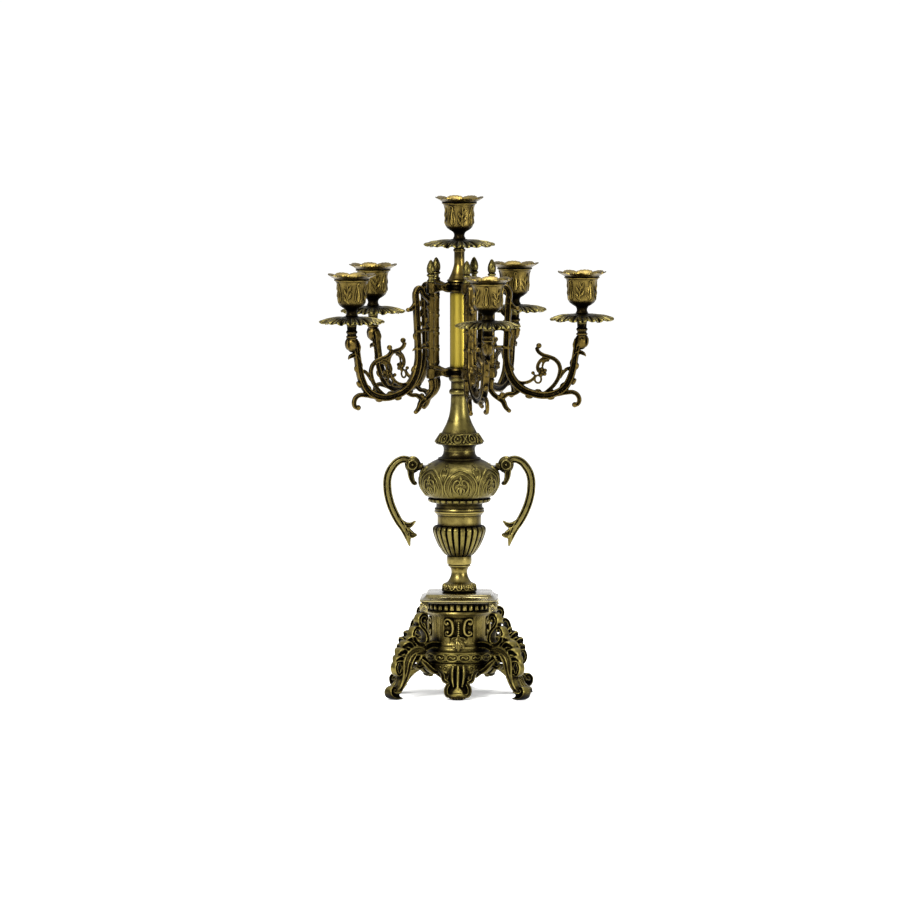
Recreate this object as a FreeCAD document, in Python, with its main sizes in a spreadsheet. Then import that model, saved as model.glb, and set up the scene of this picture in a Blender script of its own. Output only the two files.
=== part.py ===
import FreeCAD, Part
import math
import os
import Sketcher
from FreeCAD import Vector

# A five-arm tabletop candelabra in cast brass, in millimetres. +Z is up, the floor is z = 0 and
# the column's axis is x = y = 0. The front is -Y. Azimuths are turned from the front towards +X.

SIZES = {
    # base: four corner legs and four centre feet round a ring, with a drum and a square plate
    "base_turn": -1.7,          # the square base's small turn about the column, in degrees
    "ring_low": 29.5, "ring_tall": 15.0, "ring_step": 3.5, "shoulder_step": 2.0,
    "ring_lip": 3.5, "ring_round": 2.0, "web_thick": 4.0,
    "drum_tall": 38.0, "drum_radius": 30.5, "drum_wall": 3.0, "drum_lid": 4.0,
    "frieze_tall": 12.0, "frieze_step": 2.5,
    "plate_thick": 7.5, "plate_half": 38.7, "plate_flare": 6.5,
    "block_side": 13.0, "block_tall": 9.5, "block_out": 35.0,
    "leg_thick": 15.0, "leg_band": 9.0, "toe_out": 95.0, "toe_tall": 9.0, "toe_half": 9.0,
    "foot_thick": 18.0, "foot_band": 9.0, "foot_out": 71.0,
    # column, from the plate up
    "stem_foot_radius": 17.0, "stem_waist_radius": 8.0, "stem_top_radius": 10.5, "stem_tall": 28.0,
    "collar_radius": 12.2, "collar_tall": 8.5,
    "cup_low_radius": 12.5, "cup_wide_radius": 26.0, "cup_top_radius": 24.0, "cup_tall": 30.5,
    "band_tall": 23.0, "band_radius": 22.3, "ring_band_radius": 25.0,
    "urn_tall": 52.0, "urn_radius": 39.9, "urn_foot_radius": 29.5, "urn_neck_radius": 15.7,
    "urn_wall": 3.0, "urn_bead": 10.0, "urn_bead_up": 18.5,
    "landing_up": 31.5, "landing_tall": 9.5, "landing_in": 5.3,
    "bell_tall": 73.5, "bell_radius": 23.7, "bell_waist_radius": 8.3, "bell_ring_radius": 10.5,
    "hub_tall": 10.0, "hub_radius": 12.0, "upper_hub_tall": 11.0,
    "tube_tall": 75.0, "tube_radius": 9.4, "tube_wall": 1.5,
    "trumpet_tall": 32.5, "trumpet_radius": 12.5, "trumpet_neck_radius": 5.2,
    "rod_radius": 3.0, "rod_clearance": 0.2, "nut_tall": 6.0, "nut_radius": 7.0,
    "rod_end": 1.0,
    "washer_tall": 2.0, "washer_radius": 12.0,
    # arms: their pins stand round the column between the two hubs
    "azimuth_a": 300.7, "azimuth_b": 224.3, "azimuth_c": 153.3, "azimuth_d": 79.5,
    "azimuth_e": 13.1,
    "pin_out": 33.0, "pin_radius": 2.2, "lug_width": 7.0, "lug_radius": 5.5,
    "sleeve_radius": 3.8, "running_gap": 0.05, "end_gap": 0.3, "tail_tall": 11.0,
    "arm_reach": 124.3, "arm_hang": 29.5, "arm_thick": 7.0, "arm_band": 5.6,
    "capital_radius": 6.0, "finial_tall": 23.0, "finial_radius": 4.6, "pin_head_tall": 4.0,
    # drip pans and candle cups
    "pan_radius": 33.0, "centre_pan_radius": 36.0, "pan_thick": 2.4, "pan_droop": 5.0,
    "pan_boss_tall": 10.0, "pan_boss_radius": 8.0, "seat_radius": 5.0, "stud_radius": 3.0,
    "stud_rise": 8.0, "cup_neck_tall": 5.0, "candle_cup_radius": 14.3, "candle_cup_tall": 43.0,
    "candle_rim_radius": 23.5, "candle_rim_thick": 2.4, "candle_bore_radius": 11.25,
    "candle_bore_deep": 25.0, "cup_round_tall": 8.0,
    # handles on the urn
    "handle_band": 7.0, "handle_thick": 8.0, "screw_radius": 1.5, "screw_head_radius": 3.0,
    "screw_head_tall": 1.8, "screw_bite": 5.0, "screw_gap": 0.1,
}
ARMS = "abcde"
CORNERS = (45, 135, 225, 315)
SIDES = (0, 90, 180, 270)

doc = FreeCAD.newDocument("candelabra")
sheet = doc.addObject("Spreadsheet::Sheet", "Dims")
for row, (name, value) in enumerate(SIZES.items(), start=1):
    sheet.set(f"A{row}", name)
    sheet.set(f"B{row}", str(value))
    sheet.setAlias(f"B{row}", name)
doc.recompute()


class Size:
    """A number and the sheet expression that gives it, so that what is drawn is also bound."""

    def __init__(self, value, text=None):
        self.value = float(value)
        self.text = text or f"{float(value)}"

    def __add__(self, other):
        other = as_size(other)
        return Size(self.value + other.value, f"({self.text} + {other.text})")

    def __sub__(self, other):
        other = as_size(other)
        return Size(self.value - other.value, f"({self.text} - {other.text})")

    def __mul__(self, factor):
        return Size(self.value * factor, f"({self.text} * {float(factor)})")

    def __rsub__(self, other):
        return as_size(other) - self

    __radd__ = __add__
    __rmul__ = __mul__


def as_size(thing):
    return thing if isinstance(thing, Size) else Size(thing)


def cell(name):
    """One value of the sheet."""
    return Size(sheet.get(name), f"Dims.{name}")


# ---------------------------------------------------------------- helpers

pieces = {}                     # node name: the object that holds its shape


def keep(name, piece):
    piece.Label = name
    pieces[name] = piece
    return piece


def bind(piece, **values):
    for prop, value in values.items():
        piece.setExpression(prop, as_size(value).text)
    return piece


def stand(piece, height=0.0, azimuth=90.0, out=0.0):
    """Places a piece at a height, or out from the column with its own +X facing outwards."""
    up, turn, away = as_size(height), as_size(azimuth), as_size(out)
    angle = f"({turn.text} * 1deg)"
    spot = f"vector({away.text} * sin{angle}; -{away.text} * cos{angle}; {up.text})"
    spin = f"rotation(vector(0; 0; 1); {turn.text} - 90)"
    piece.setExpression("Placement", f"placement({spot}; {spin})")
    return piece


def arc_centre(start, end, radius):
    """The centre of the shorter arc between two points, to the left of the way for radius > 0."""
    chord = end - start
    middle = (start + end) * 0.5
    left = Vector(-chord.y, chord.x, 0).normalize()
    away = math.sqrt(radius ** 2 - (chord.Length / 2) ** 2)
    return middle + left * math.copysign(away, radius)


def draw_outline(sketch, outline):
    """A closed outline whose corners and arc radii are bound to the sheet.

    Each corner is (across, up), or (across, up, radius) where an arc arrives at it."""
    corners = [Vector(as_size(c[0]).value, as_size(c[1]).value, 0) for c in outline]
    ends = []
    for i, corner in enumerate(outline):
        start, end = corners[i - 1], corners[i]
        if len(corner) == 2:
            line = sketch.addGeometry(Part.LineSegment(start, end), False)
            ends.append((line, 1, 2))
            continue
        radius = as_size(corner[2])
        centre = arc_centre(start, end, radius.value)
        circle = Part.Circle(centre, Vector(0, 0, 1), abs(radius.value))
        first, last = (start, end) if radius.value > 0 else (end, start)
        angles = [math.atan2(p.y - centre.y, p.x - centre.x) for p in (first, last)]
        arc = sketch.addGeometry(Part.ArcOfCircle(circle, *angles), False)
        ends.append((arc, 1, 2) if radius.value > 0 else (arc, 2, 1))
        index = sketch.addConstraint(Sketcher.Constraint("Radius", arc, abs(radius.value)))
        sketch.renameConstraint(index, f"bend_{i}")
        text = radius.text if radius.value > 0 else f"(0 - {radius.text})"
        sketch.setExpression(f"Constraints.bend_{i}", text)
    for i, (shape, _, end) in enumerate(ends):
        following, begin, _ = ends[(i + 1) % len(ends)]
        sketch.addConstraint(Sketcher.Constraint("Coincident", shape, end, following, begin))
        for kind, value in (("DistanceX", outline[i][0]), ("DistanceY", outline[i][1])):
            value = as_size(value)
            index = sketch.addConstraint(Sketcher.Constraint(kind, -1, 1, shape, end, value.value))
            sketch.renameConstraint(index, f"{kind}_{i}")
            sketch.setExpression(f"Constraints.{kind}_{i}", value.text)


def turned(name, outline, **spot):
    """A body turned about its own Z axis from a half outline of (radius, height) corners."""
    body = doc.addObject("PartDesign::Body", name)
    plane = [face for face in body.Origin.OriginFeatures if face.Role == "XZ_Plane"][0]
    sketch = body.newObject("Sketcher::SketchObject", f"{name}_profile")
    sketch.AttachmentSupport = [(plane, "")]
    sketch.MapMode = "FlatFace"
    draw_outline(sketch, outline)
    spin = body.newObject("PartDesign::Revolution", f"{name}_turning")
    spin.Profile = sketch
    spin.ReferenceAxis = (sketch, ["V_Axis"])
    spin.Angle = 360
    body.Tip = spin
    stand(body, **spot)
    return keep(name, body)


def cylinder(name, radius, tall, height=0.0, azimuth=90.0, out=0.0):
    return stand(bind(doc.addObject("Part::Cylinder", name), Radius=radius, Height=tall),
                 height, azimuth, out)


def joined(name, shapes):
    whole = doc.addObject("Part::MultiFuse", name)
    whole.Shapes = shapes
    return whole


def cut(name, base, tool):
    remains = doc.addObject("Part::Cut", name)
    remains.Base = base
    remains.Tool = tool
    return remains


def group(name, shapes):
    """Several separate solids of one node."""
    together = doc.addObject("Part::Compound", name)
    together.Links = shapes
    return keep(name, together)


def rounded_path(points):
    """A wire in the plane y = 0 of straight runs joined by tangent arcs."""
    points = [Vector(across, 0, up) for across, up in points]
    edges = []
    start = points[0]
    for before, corner, after in zip(points, points[1:], points[2:]):
        run_in, run_out = corner - before, after - corner
        reach = 0.45 * min(run_in.Length, run_out.Length)
        run_in.normalize()
        run_out.normalize()
        half_turn = run_in.getAngle(run_out) / 2
        inward = (run_out - run_in).normalize()
        sag = reach / math.tan(half_turn) * (1 / math.cos(half_turn) - 1)
        arrive, leave = corner - run_in * reach, corner + run_out * reach
        edges.append(Part.LineSegment(start, arrive).toShape())
        edges.append(Part.Arc(arrive, corner + inward * sag, leave).toShape())
        start = leave
    edges.append(Part.LineSegment(start, points[-1]).toShape())
    return Part.Wire(edges)


def ribbon(points, band, thick):
    """A scroll: a band of even width along a path in the plane y = 0, thick along Y."""
    path = rounded_path(points)
    edge = path.makeOffset2D(band / 2, 0, False, False, False)
    face = Part.Face(edge)
    face.translate(Vector(0, -thick / 2, 0))
    return face.extrude(Vector(0, thick, 0))


def post(radius, low, high, across=0.0):
    return Part.makeCylinder(radius, high - low, Vector(across, 0, low))


def made(name, shape, height=0.0, azimuth=90.0, out=0.0):
    """A casting whose shape is worked out here from the sheet's values."""
    piece = doc.addObject("Part::Feature", name)
    piece.Shape = shape
    stand(piece, height, azimuth, out)
    return keep(name, piece)


# ---------------------------------------------------------------- levels from the floor up

rod_bore = cell("rod_radius") + cell("rod_clearance")
ring_shoulder = cell("drum_radius") + cell("shoulder_step")
ring_radius = ring_shoulder + cell("ring_step")
ring_top = cell("ring_low") + cell("ring_tall") + cell("ring_lip")
drum_top = ring_top + cell("drum_tall") - cell("ring_lip") + cell("frieze_tall")
plate_top = drum_top + cell("plate_thick")
stem_top = plate_top + cell("stem_tall") + cell("collar_tall")
flutes_top = stem_top + cell("cup_tall")
band_top = flutes_top + cell("band_tall")
urn_top = band_top + cell("urn_tall")
lower_hub_low = urn_top + cell("bell_tall")
lower_hub_top = lower_hub_low + cell("hub_tall")
upper_hub_low = lower_hub_top + cell("tube_tall")
upper_hub_top = upper_hub_low + cell("upper_hub_tall")
trumpet_top = upper_hub_top + cell("trumpet_tall")
centre_seat = trumpet_top + cell("pan_boss_tall")
arm_stud_base = upper_hub_low - cell("arm_hang")
arm_seat = arm_stud_base + cell("pan_boss_tall")
web_low = cell("ring_low") + cell("ring_tall") - cell("web_thick")

# ---------------------------------------------------------------- base


def foot_ring():
    """The cast ring that carries the legs: a torus band, a shoulder above it and a flat web."""
    low, mid = cell("ring_low"), cell("ring_low") + cell("ring_tall")
    outer, shoulder, rounding = ring_radius, ring_shoulder, cell("ring_round")
    inner = cell("drum_radius") - cell("drum_wall")
    ring = turned("ring_casting", [
        (rod_bore, web_low), (inner, web_low), (inner, low), (outer - rounding, low),
        (outer, low + rounding), (outer, mid - rounding), (outer - rounding, mid), (shoulder, mid),
        (shoulder, ring_top), (rod_bore, ring_top)])
    del pieces["ring_casting"]
    holes = []
    for azimuth in CORNERS[:2] + SIDES[:2]:
        hole = bind(doc.addObject("Part::Cylinder", f"ring_hole_{azimuth}"),
                    Radius=cell("screw_radius"), Height=outer * 2.5)
        turn = f"rotation(vector(0; 0; 1); {azimuth} + {cell('base_turn').text})"
        spot = f"vector(0; 0; {(low + cell('ring_tall') * 0.5).text})"
        hole.setExpression("Placement", f"placement({spot}; {turn}) * placement(vector(-1.25 * "
                                        f"{outer.text}; 0; 0); rotation(vector(0; 1; 0); 90))")
        holes.append(hole)
    keep("foot_ring", cut("foot_ring", ring, joined("ring_holes", holes)))


def drum():
    """A hollow drum on the ring, with a lid that the tie rod passes and a wider frieze."""
    wide, inside = cell("drum_radius"), cell("drum_radius") - cell("drum_wall")
    frieze, low = wide + cell("frieze_step"), drum_top - cell("frieze_tall")
    lid = drum_top - cell("drum_lid")
    turned("base_drum", [
        (inside, ring_top), (wide, ring_top), (wide, low), (frieze, low + 1.5),
        (frieze, drum_top), (rod_bore, drum_top), (rod_bore, lid), (inside, lid)])


def square_plate():
    """A square plate with flared edges and a corner block under each corner."""
    half, flare, thick = cell("plate_half"), cell("plate_flare"), cell("plate_thick")
    slab = bind(doc.addObject("Part::Box", "plate_slab"), Length=half * 2, Width=half * 2,
                Height=thick)
    slab.setExpression("Placement", f"placement(vector(-{half.text}; -{half.text}; "
                                    f"{drum_top.text}); rotation(vector(0; 0; 1); 0))")
    doc.recompute()
    top = [i for i, edge in enumerate(slab.Shape.Edges, start=1)
           if abs(edge.BoundBox.ZMin - plate_top.value) < 0.01 and edge.BoundBox.ZLength < 0.01]
    flared = doc.addObject("Part::Chamfer", "plate_flared")
    flared.Base = slab
    flared.Edges = [(i, flare.value * 0.6, flare.value) for i in top]
    blocks = []
    for corner in CORNERS:
        block = bind(doc.addObject("Part::Box", f"plate_block_{corner}"),
                     Length=cell("block_side"), Width=cell("block_side"), Height=cell("block_tall"))
        across, along = (cell("block_out") * side for side in quarter(corner))
        middle = cell("block_side") * 0.5
        block.setExpression("Placement", f"placement(vector({(across - middle).text}; "
                                         f"{(along - middle).text}; "
                                         f"{(drum_top - cell('block_tall')).text}); "
                                         f"rotation(vector(0; 0; 1); 0))")
        blocks.append(block)
    solid = joined("plate_solid", [flared] + blocks)
    bore = cylinder("plate_bore", rod_bore, thick + 2, drum_top - 1)
    plate = cut("top_plate", solid, bore)
    plate.setExpression("Placement", f"placement(vector(0; 0; 0); rotation(vector(0; 0; 1); "
                                     f"{cell('base_turn').text}))")
    keep("top_plate", plate)


def quarter(corner):
    """The signs of X and Y at a corner azimuth."""
    angle = math.radians(corner)
    return math.copysign(1, math.sin(angle)), math.copysign(1, -math.cos(angle))


def base_screw(out, bite):
    """A radial screw: its head is inside the wall and its shank bites into the leg."""
    head, shank = cell("screw_head_radius").value, cell("screw_radius").value
    tall, gap = cell("screw_head_tall").value, cell("screw_gap").value
    seat = math.sqrt(out ** 2 - head ** 2) - gap
    axis = Vector(1, 0, 0)
    top = Part.makeCylinder(head, tall, Vector(seat - tall, 0, 0), axis)
    return top.fuse(Part.makeCylinder(shank, bite + out - seat, Vector(seat, 0, 0), axis))


def corner_leg():
    """An S-scroll leg with a toe, in the plane y = 0, cut to sit on the ring and on the floor."""
    ring, toe = ring_radius.value, cell("toe_out").value
    block = math.hypot(cell("block_out").value, cell("block_out").value)
    under = (drum_top - cell("block_tall")).value
    mid = (cell("ring_low") + cell("ring_tall") * 0.5).value
    band, thick = cell("leg_band").value, cell("leg_thick").value
    scroll = ribbon([(block, under - band / 2), (block + 5, under - 10), (block + 1, under - 20),
                     (block + 4, mid + 22), (toe - 32, mid + 21), (toe - 20, mid + 16),
                     (toe - 11, mid + 2), (toe - 9, 20), (toe - 6, 9)], band, thick)
    brace = ribbon([(ring - 6, mid), (ring + 12, mid + 3), (toe - 30, mid + 12),
                    (toe - 18, mid + 14)], band, thick * 0.7)
    toe_pad = post(cell("toe_half").value, 0, cell("toe_tall").value, toe)
    return scroll.fuse([brace, toe_pad])


def centre_foot():
    """A short scrolled foot at the middle of a side."""
    ring, out = ring_radius.value, cell("foot_out").value
    mid = (cell("ring_low") + cell("ring_tall") * 0.5).value
    band, thick = cell("foot_band").value, cell("foot_thick").value
    scroll = ribbon([(ring - 6, mid), (out - 21, mid + 1), (out - 9, mid - 6), (out - 6, 20),
                     (out - 5, band / 2), (out + 3, band / 2)], band, thick)
    side = ribbon([(ring - 4, mid - 4), (out - 20, mid - 8), (out - 14, mid - 16)], band * 0.7,
                  thick * 1.6)
    return scroll.fuse(side)


def legs():
    """Each leg is cut by the ring's cylinder, by the floor and for its own screw."""
    ring, low = ring_radius.value, cell("ring_low").value
    mid = low + cell("ring_tall").value / 2
    bite = cell("screw_bite").value
    wall = cell("drum_radius").value - cell("drum_wall").value
    through = ring - wall + bite
    hole = Part.makeCylinder(cell("screw_radius").value, through, Vector(wall, 0, mid),
                             Vector(1, 0, 0))
    core = post(ring, -1, mid * 3)
    floor = Part.makeBox(300, 300, 50, Vector(-150, -150, -50))
    screws = []
    for name, shape, azimuths in (("corner_leg", corner_leg(), CORNERS),
                                  ("centre_foot", centre_foot(), SIDES)):
        shape = shape.cut([core, floor, hole])
        for count, azimuth in enumerate(azimuths, start=1):
            turn = cell("base_turn") + azimuth
            made(f"{name}_{count}", shape, azimuth=turn)
            screw = doc.addObject("Part::Feature", f"leg_screw_{azimuth}")
            screw.Shape = base_screw(wall, through)
            screws.append(stand(screw, low + cell("ring_tall").value / 2, turn))
    group("leg_screws", screws)


foot_ring()
drum()
square_plate()
legs()

# ---------------------------------------------------------------- column

low, top = plate_top, stem_top
neck = top - cell("collar_tall")
turned("stem_baluster", [
    (rod_bore, low), (cell("stem_foot_radius"), low), (cell("stem_foot_radius"), low + 5),
    (cell("stem_foot_radius") - 2.5, low + 8.5),
    (cell("stem_waist_radius"), low + 19, 16.0),
    (cell("stem_top_radius"), neck), (cell("collar_radius"), neck), (cell("collar_radius"), top),
    (rod_bore, top)])

low, top = stem_top, flutes_top
turned("fluted_cup", [
    (rod_bore, low), (cell("cup_low_radius"), low), (cell("cup_wide_radius") - 3.5, low + 14, 34.0),
    (cell("cup_wide_radius"), low + 22), (cell("cup_wide_radius"), top - 4.5),
    (cell("cup_top_radius"), top), (rod_bore, top)])

low, top = flutes_top, band_top
turned("waist_band", [
    (rod_bore, low), (cell("band_radius"), low), (cell("band_radius"), low + 13),
    (cell("ring_band_radius"), low + 13), (cell("ring_band_radius"), low + 17.5),
    (cell("band_radius") + 1.2, low + 17.5), (cell("band_radius") + 1.2, top), (rod_bore, top)])


landing_radius = cell("urn_radius") - cell("landing_in")
landing_level = band_top + cell("landing_up") + cell("landing_tall") * 0.5


def urn():
    """A hollow urn, widest at an upright bead, with a narrower upright band for the handles."""
    low, top = band_top, urn_top
    wide, wall, foot = cell("urn_radius"), cell("urn_wall"), cell("urn_foot_radius")
    bead_low = low + cell("urn_bead_up")
    bead_top = bead_low + cell("urn_bead")
    landing_low = low + cell("landing_up")
    landing_top = landing_low + cell("landing_tall")
    body = turned("urn_shell", [
        (rod_bore, low), (foot, low), (foot + 1, low + 4.5), (wide, bead_low, 22.0),
        (wide, bead_top), (landing_radius, landing_low), (landing_radius, landing_top),
        (landing_radius - 12, top - 7), (cell("urn_neck_radius"), top), (rod_bore, top),
        (rod_bore, top - wall), (landing_radius - 15, top - 7 - wall),
        (landing_radius - wall, landing_top - 1), (landing_radius - wall, landing_low - 1),
        (wide - wall, bead_top), (wide - wall, bead_low), (foot - wall, low + 5, -22.0),
        (foot - wall, low + wall), (rod_bore, low + wall)])
    del pieces["urn_shell"]
    hole = bind(doc.addObject("Part::Cylinder", "urn_screw_hole"), Radius=cell("screw_radius"),
                Height=wide * 2.5)
    hole.setExpression("Placement", f"placement(vector(-1.25 * {wide.text}; 0; "
                                    f"{landing_level.text}); rotation(vector(0; 1; 0); 90))")
    keep("urn_body", cut("urn_body", body, hole))


def handle():
    """A bird-headed scroll in the plane y = 0, whose head lands on the urn's upper band."""
    wall, height = landing_radius.value, landing_level.value
    band, thick = cell("handle_band").value, cell("handle_thick").value
    bow = ribbon([(wall - 3, height), (wall + 6, height + 0.5), (wall + 11, height + 4),
                  (wall + 19, height + 8.5), (wall + 31, height + 3), (wall + 37, height - 11),
                  (wall + 37, height - 23), (wall + 33, height - 43), (wall + 24, height - 62),
                  (wall + 15, height - 79)], band, thick)
    leaf = ribbon([(wall + 27, height - 56), (wall + 17, height - 60), (wall + 9, height - 56)],
                  band * 0.7, thick * 0.8)
    beak = ribbon([(wall + 13, height), (wall + 12, height - 9), (wall + 9, height - 15)],
                  band * 0.6, thick * 0.8)
    eye = Part.makeCylinder(band * 0.65, thick + 2, Vector(wall + 13, -thick / 2 - 1, height + 2),
                            Vector(0, 1, 0))
    return bow.fuse([leaf, beak, eye])


def handles():
    """Both handles, cut by the urn's upper band, and the screws that hold them."""
    wide, wall = landing_radius.value, cell("urn_wall").value
    bite = cell("screw_bite").value
    level = landing_level.value
    hole = Part.makeCylinder(cell("screw_radius").value, wall + bite,
                             Vector(wide - wall, 0, level), Vector(1, 0, 0))
    shape = handle().cut([post(wide, level - cell("landing_tall").value / 2,
                               level + cell("landing_tall").value / 2), hole])
    screws = []
    for name, azimuth in (("handle_right", 90), ("handle_left", 270)):
        made(name, shape, azimuth=azimuth)
        screw = doc.addObject("Part::Feature", f"{name}_screw")
        screw.Shape = base_screw(wide - wall, wall + bite)
        screws.append(stand(screw, landing_level, azimuth))
    group("handle_screws", screws)


urn()
handles()

low, top = urn_top, lower_hub_low
waist, bell = cell("bell_waist_radius"), cell("bell_radius")
turned("bell_cone", [
    (rod_bore, low), (cell("urn_neck_radius"), low), (cell("urn_neck_radius"), low + 3.5),
    (bell, low + 8.5, 12.0), (bell, low + 12), (bell - 6, low + 18.5),
    (waist + 1, low + 37, -48.0), (waist, low + 56), (waist + 1.5, low + 57.5),
    (waist + 1.5, low + 61.5), (waist, low + 63), (waist, low + 69),
    (cell("bell_ring_radius"), low + 70.5), (cell("bell_ring_radius"), top), (rod_bore, top)])


def hub(name, low, tall):
    """A collar with one lug for each arm's pin."""
    solids = [cylinder(f"{name}_core", cell("hub_radius"), tall, low)]
    holes = [cylinder(f"{name}_bore", rod_bore, tall + 2, low - 1)]
    for arm in ARMS:
        azimuth = cell(f"azimuth_{arm}")
        lug = bind(doc.addObject("Part::Box", f"{name}_lug_{arm}"), Length=cell("pin_out"),
                   Width=cell("lug_width"), Height=tall)
        half = cell("lug_width") * 0.5
        angle = f"({azimuth.text} * 1deg)"
        lug.setExpression("Placement", f"placement(vector(0 - {half.text} * cos{angle}; "
                                       f"0 - {half.text} * sin{angle}; {low.text}); "
                                       f"rotation(vector(0; 0; 1); {azimuth.text} - 90))")
        solids.append(lug)
        solids.append(cylinder(f"{name}_eye_{arm}", cell("lug_radius"), tall, low, azimuth,
                               cell("pin_out")))
        holes.append(cylinder(f"{name}_hole_{arm}", cell("pin_radius"), tall + 2, low - 1,
                              azimuth, cell("pin_out")))
    keep(name, cut(name, joined(f"{name}_solid", solids), joined(f"{name}_holes", holes)))


hub("lower_hub", lower_hub_low, cell("hub_tall"))
hub("upper_hub", upper_hub_low, cell("upper_hub_tall"))

inside = cell("tube_radius") - cell("tube_wall")
turned("column_tube", [
    (inside, lower_hub_top), (cell("tube_radius"), lower_hub_top),
    (cell("tube_radius"), upper_hub_low), (inside, upper_hub_low)])

low, top = upper_hub_top, trumpet_top
turned("trumpet_neck", [
    (rod_bore, low), (cell("trumpet_radius"), low),
    (cell("trumpet_neck_radius"), low + 17, -24.0), (cell("trumpet_neck_radius"), top),
    (rod_bore, top)])

# the tie rod runs from a nut under the ring's web up into the centre cup
rod_low = web_low - cell("washer_tall") - cell("nut_tall") - cell("rod_end")
rod_top = centre_seat + cell("stud_rise")
keep("tie_rod", cylinder("tie_rod", cell("rod_radius"), rod_top - rod_low, rod_low))
for name, radius, tall, high in (
        ("base_washer", cell("washer_radius"), cell("washer_tall"), web_low),
        ("base_nut", cell("nut_radius"), cell("nut_tall"), web_low - cell("washer_tall"))):
    low = high - tall
    turned(name, [(cell("rod_radius"), low), (radius, low), (radius, high),
                  (cell("rod_radius"), high)])

# ---------------------------------------------------------------- arms


def arm():
    """One cast arm in the plane y = 0, with sleeves for its pin, scrolls and a stud on top."""
    band, thick = cell("arm_band").value, cell("arm_thick").value
    pin, reach = cell("pin_out").value, cell("arm_reach").value
    low_gap = (lower_hub_top + cell("end_gap")).value
    high_gap = (upper_hub_low - cell("end_gap")).value
    tail_top = (lower_hub_low - cell("end_gap")).value
    base, seat = arm_stud_base.value, arm_seat.value
    scrolls = [
        # the outer strut, the main arc and the upright under the cup
        ([(pin, high_gap - 9), (pin + 6, high_gap - 4), (pin + 14, high_gap - 6),
          (pin + 14, high_gap - 22), (pin + 12, high_gap - 54), (pin + 17, high_gap - 70),
          (pin + 25, high_gap - 90), (pin + 36, high_gap - 99), (pin + 54, high_gap - 103),
          (reach - 20, high_gap - 100), (reach - 11, high_gap - 88), (reach - 8, high_gap - 72),
          (reach, base - 22)], band, thick),
        # the tail outside the upright
        ([(reach - 26, high_gap - 102), (reach - 12, high_gap - 105), (reach - 4, high_gap - 103),
          (reach - 2, high_gap - 109)], band * 0.8, thick * 0.9),
        # the bud outside the outer strut
        ([(pin + 13, high_gap - 32), (pin + 21, high_gap - 28), (pin + 23, high_gap - 18)],
         band * 0.8, thick * 0.8),
        # the C-scroll and the long spiral under it
        ([(pin + 44, high_gap - 51), (pin + 46, high_gap - 59), (pin + 55, high_gap - 62),
          (pin + 65, high_gap - 68), (pin + 69, high_gap - 79), (pin + 63, high_gap - 89),
          (pin + 50, high_gap - 92), (pin + 41, high_gap - 88)], band * 0.9, thick * 0.85),
        ([(pin + 17, high_gap - 70), (pin + 25, high_gap - 82), (pin + 35, high_gap - 88),
          (pin + 44, high_gap - 86), (pin + 49, high_gap - 78)], band * 0.7, thick * 0.75),
        # the link from the C-scroll to the upright
        ([(pin + 67, high_gap - 75), (reach - 10, high_gap - 72)], band * 0.7, thick * 0.7),
        # the link from the main arc to the tail sleeve, and the curl under it
        ([(pin + 28, high_gap - 94), (pin + 17, high_gap - 99), (pin + 7, tail_top - 8),
          (pin, tail_top - 6)], band * 0.9, thick * 0.8),
        ([(pin + 12, high_gap - 97), (pin + 9, high_gap - 108), (pin + 16, high_gap - 117)],
         band * 0.8, thick * 0.7),
        # two bars between the struts
        ([(pin, high_gap - 37), (pin + 13, high_gap - 37)], band * 0.7, thick * 0.6),
        ([(pin, high_gap - 54), (pin + 12, high_gap - 54)], band * 0.7, thick * 0.6),
    ]
    solids = [ribbon(points, wide, deep) if len(points) > 2 else bar(points, wide, deep)
              for points, wide, deep in scrolls]
    for across, up, radius in ((pin + 23, high_gap - 15, 4.0), (pin + 47.5, high_gap - 50, 3.6),
                               (pin + 49, high_gap - 76, 6.0), (reach - 6, high_gap - 108, 3.8)):
        solids.append(Part.makeSphere(radius, Vector(across, 0, up)))
    sleeve = cell("sleeve_radius").value
    solids.append(post(sleeve, low_gap, high_gap, pin))
    solids.append(post(sleeve, tail_top - cell("tail_tall").value, tail_top, pin))
    capital = cell("capital_radius").value
    solids.append(Part.makeCone(capital * 0.6, capital, 12, Vector(reach, 0, base - 31)))
    solids.append(post(capital, base - 19, base - 9, reach))
    solids.append(post(cell("seat_radius").value, base - 9, base, reach))
    solids.append(post(cell("stud_radius").value, base, seat + cell("stud_rise").value, reach))
    bore = post(cell("pin_radius").value + cell("running_gap").value, 0, high_gap + 1, pin)
    clear = post(cell("lug_radius").value + 0.4, tail_top, low_gap, pin)
    return solids[0].fuse(solids[1:]).cut([bore, clear])


def bar(points, wide, deep):
    """A level bar between two points of one height."""
    (start, up), (end, _) = points
    return Part.makeBox(end - start, deep, wide, Vector(start, -deep / 2, up - wide / 2))


def arm_pins():
    """The pins stand in both hubs, and a finial on each one's thread clamps the upper lug."""
    low = lower_hub_low - cell("end_gap") - cell("tail_tall")
    top = upper_hub_top + cell("finial_tall") * 0.6
    pins = []
    for arm_name in ARMS:
        pins.append(cylinder(f"pin_{arm_name}", cell("pin_radius"), top - low, low,
                             cell(f"azimuth_{arm_name}"), cell("pin_out")))
    group("pivot_pins", pins)


def finial(name, azimuth):
    wide, tall, blind = cell("finial_radius"), cell("finial_tall"), cell("finial_tall") * 0.6
    turned(name, [
        (cell("pin_radius"), 0.001), (wide - 1, 0.001), (wide - 1, 5), (wide - 2, 6.5),
        (wide, 12, 9.0), (1.2, tall, 24.0), (0.001, tall), (0.001, blind),
        (cell("pin_radius"), blind)],
        height=upper_hub_top, azimuth=azimuth, out=cell("pin_out"))


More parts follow.
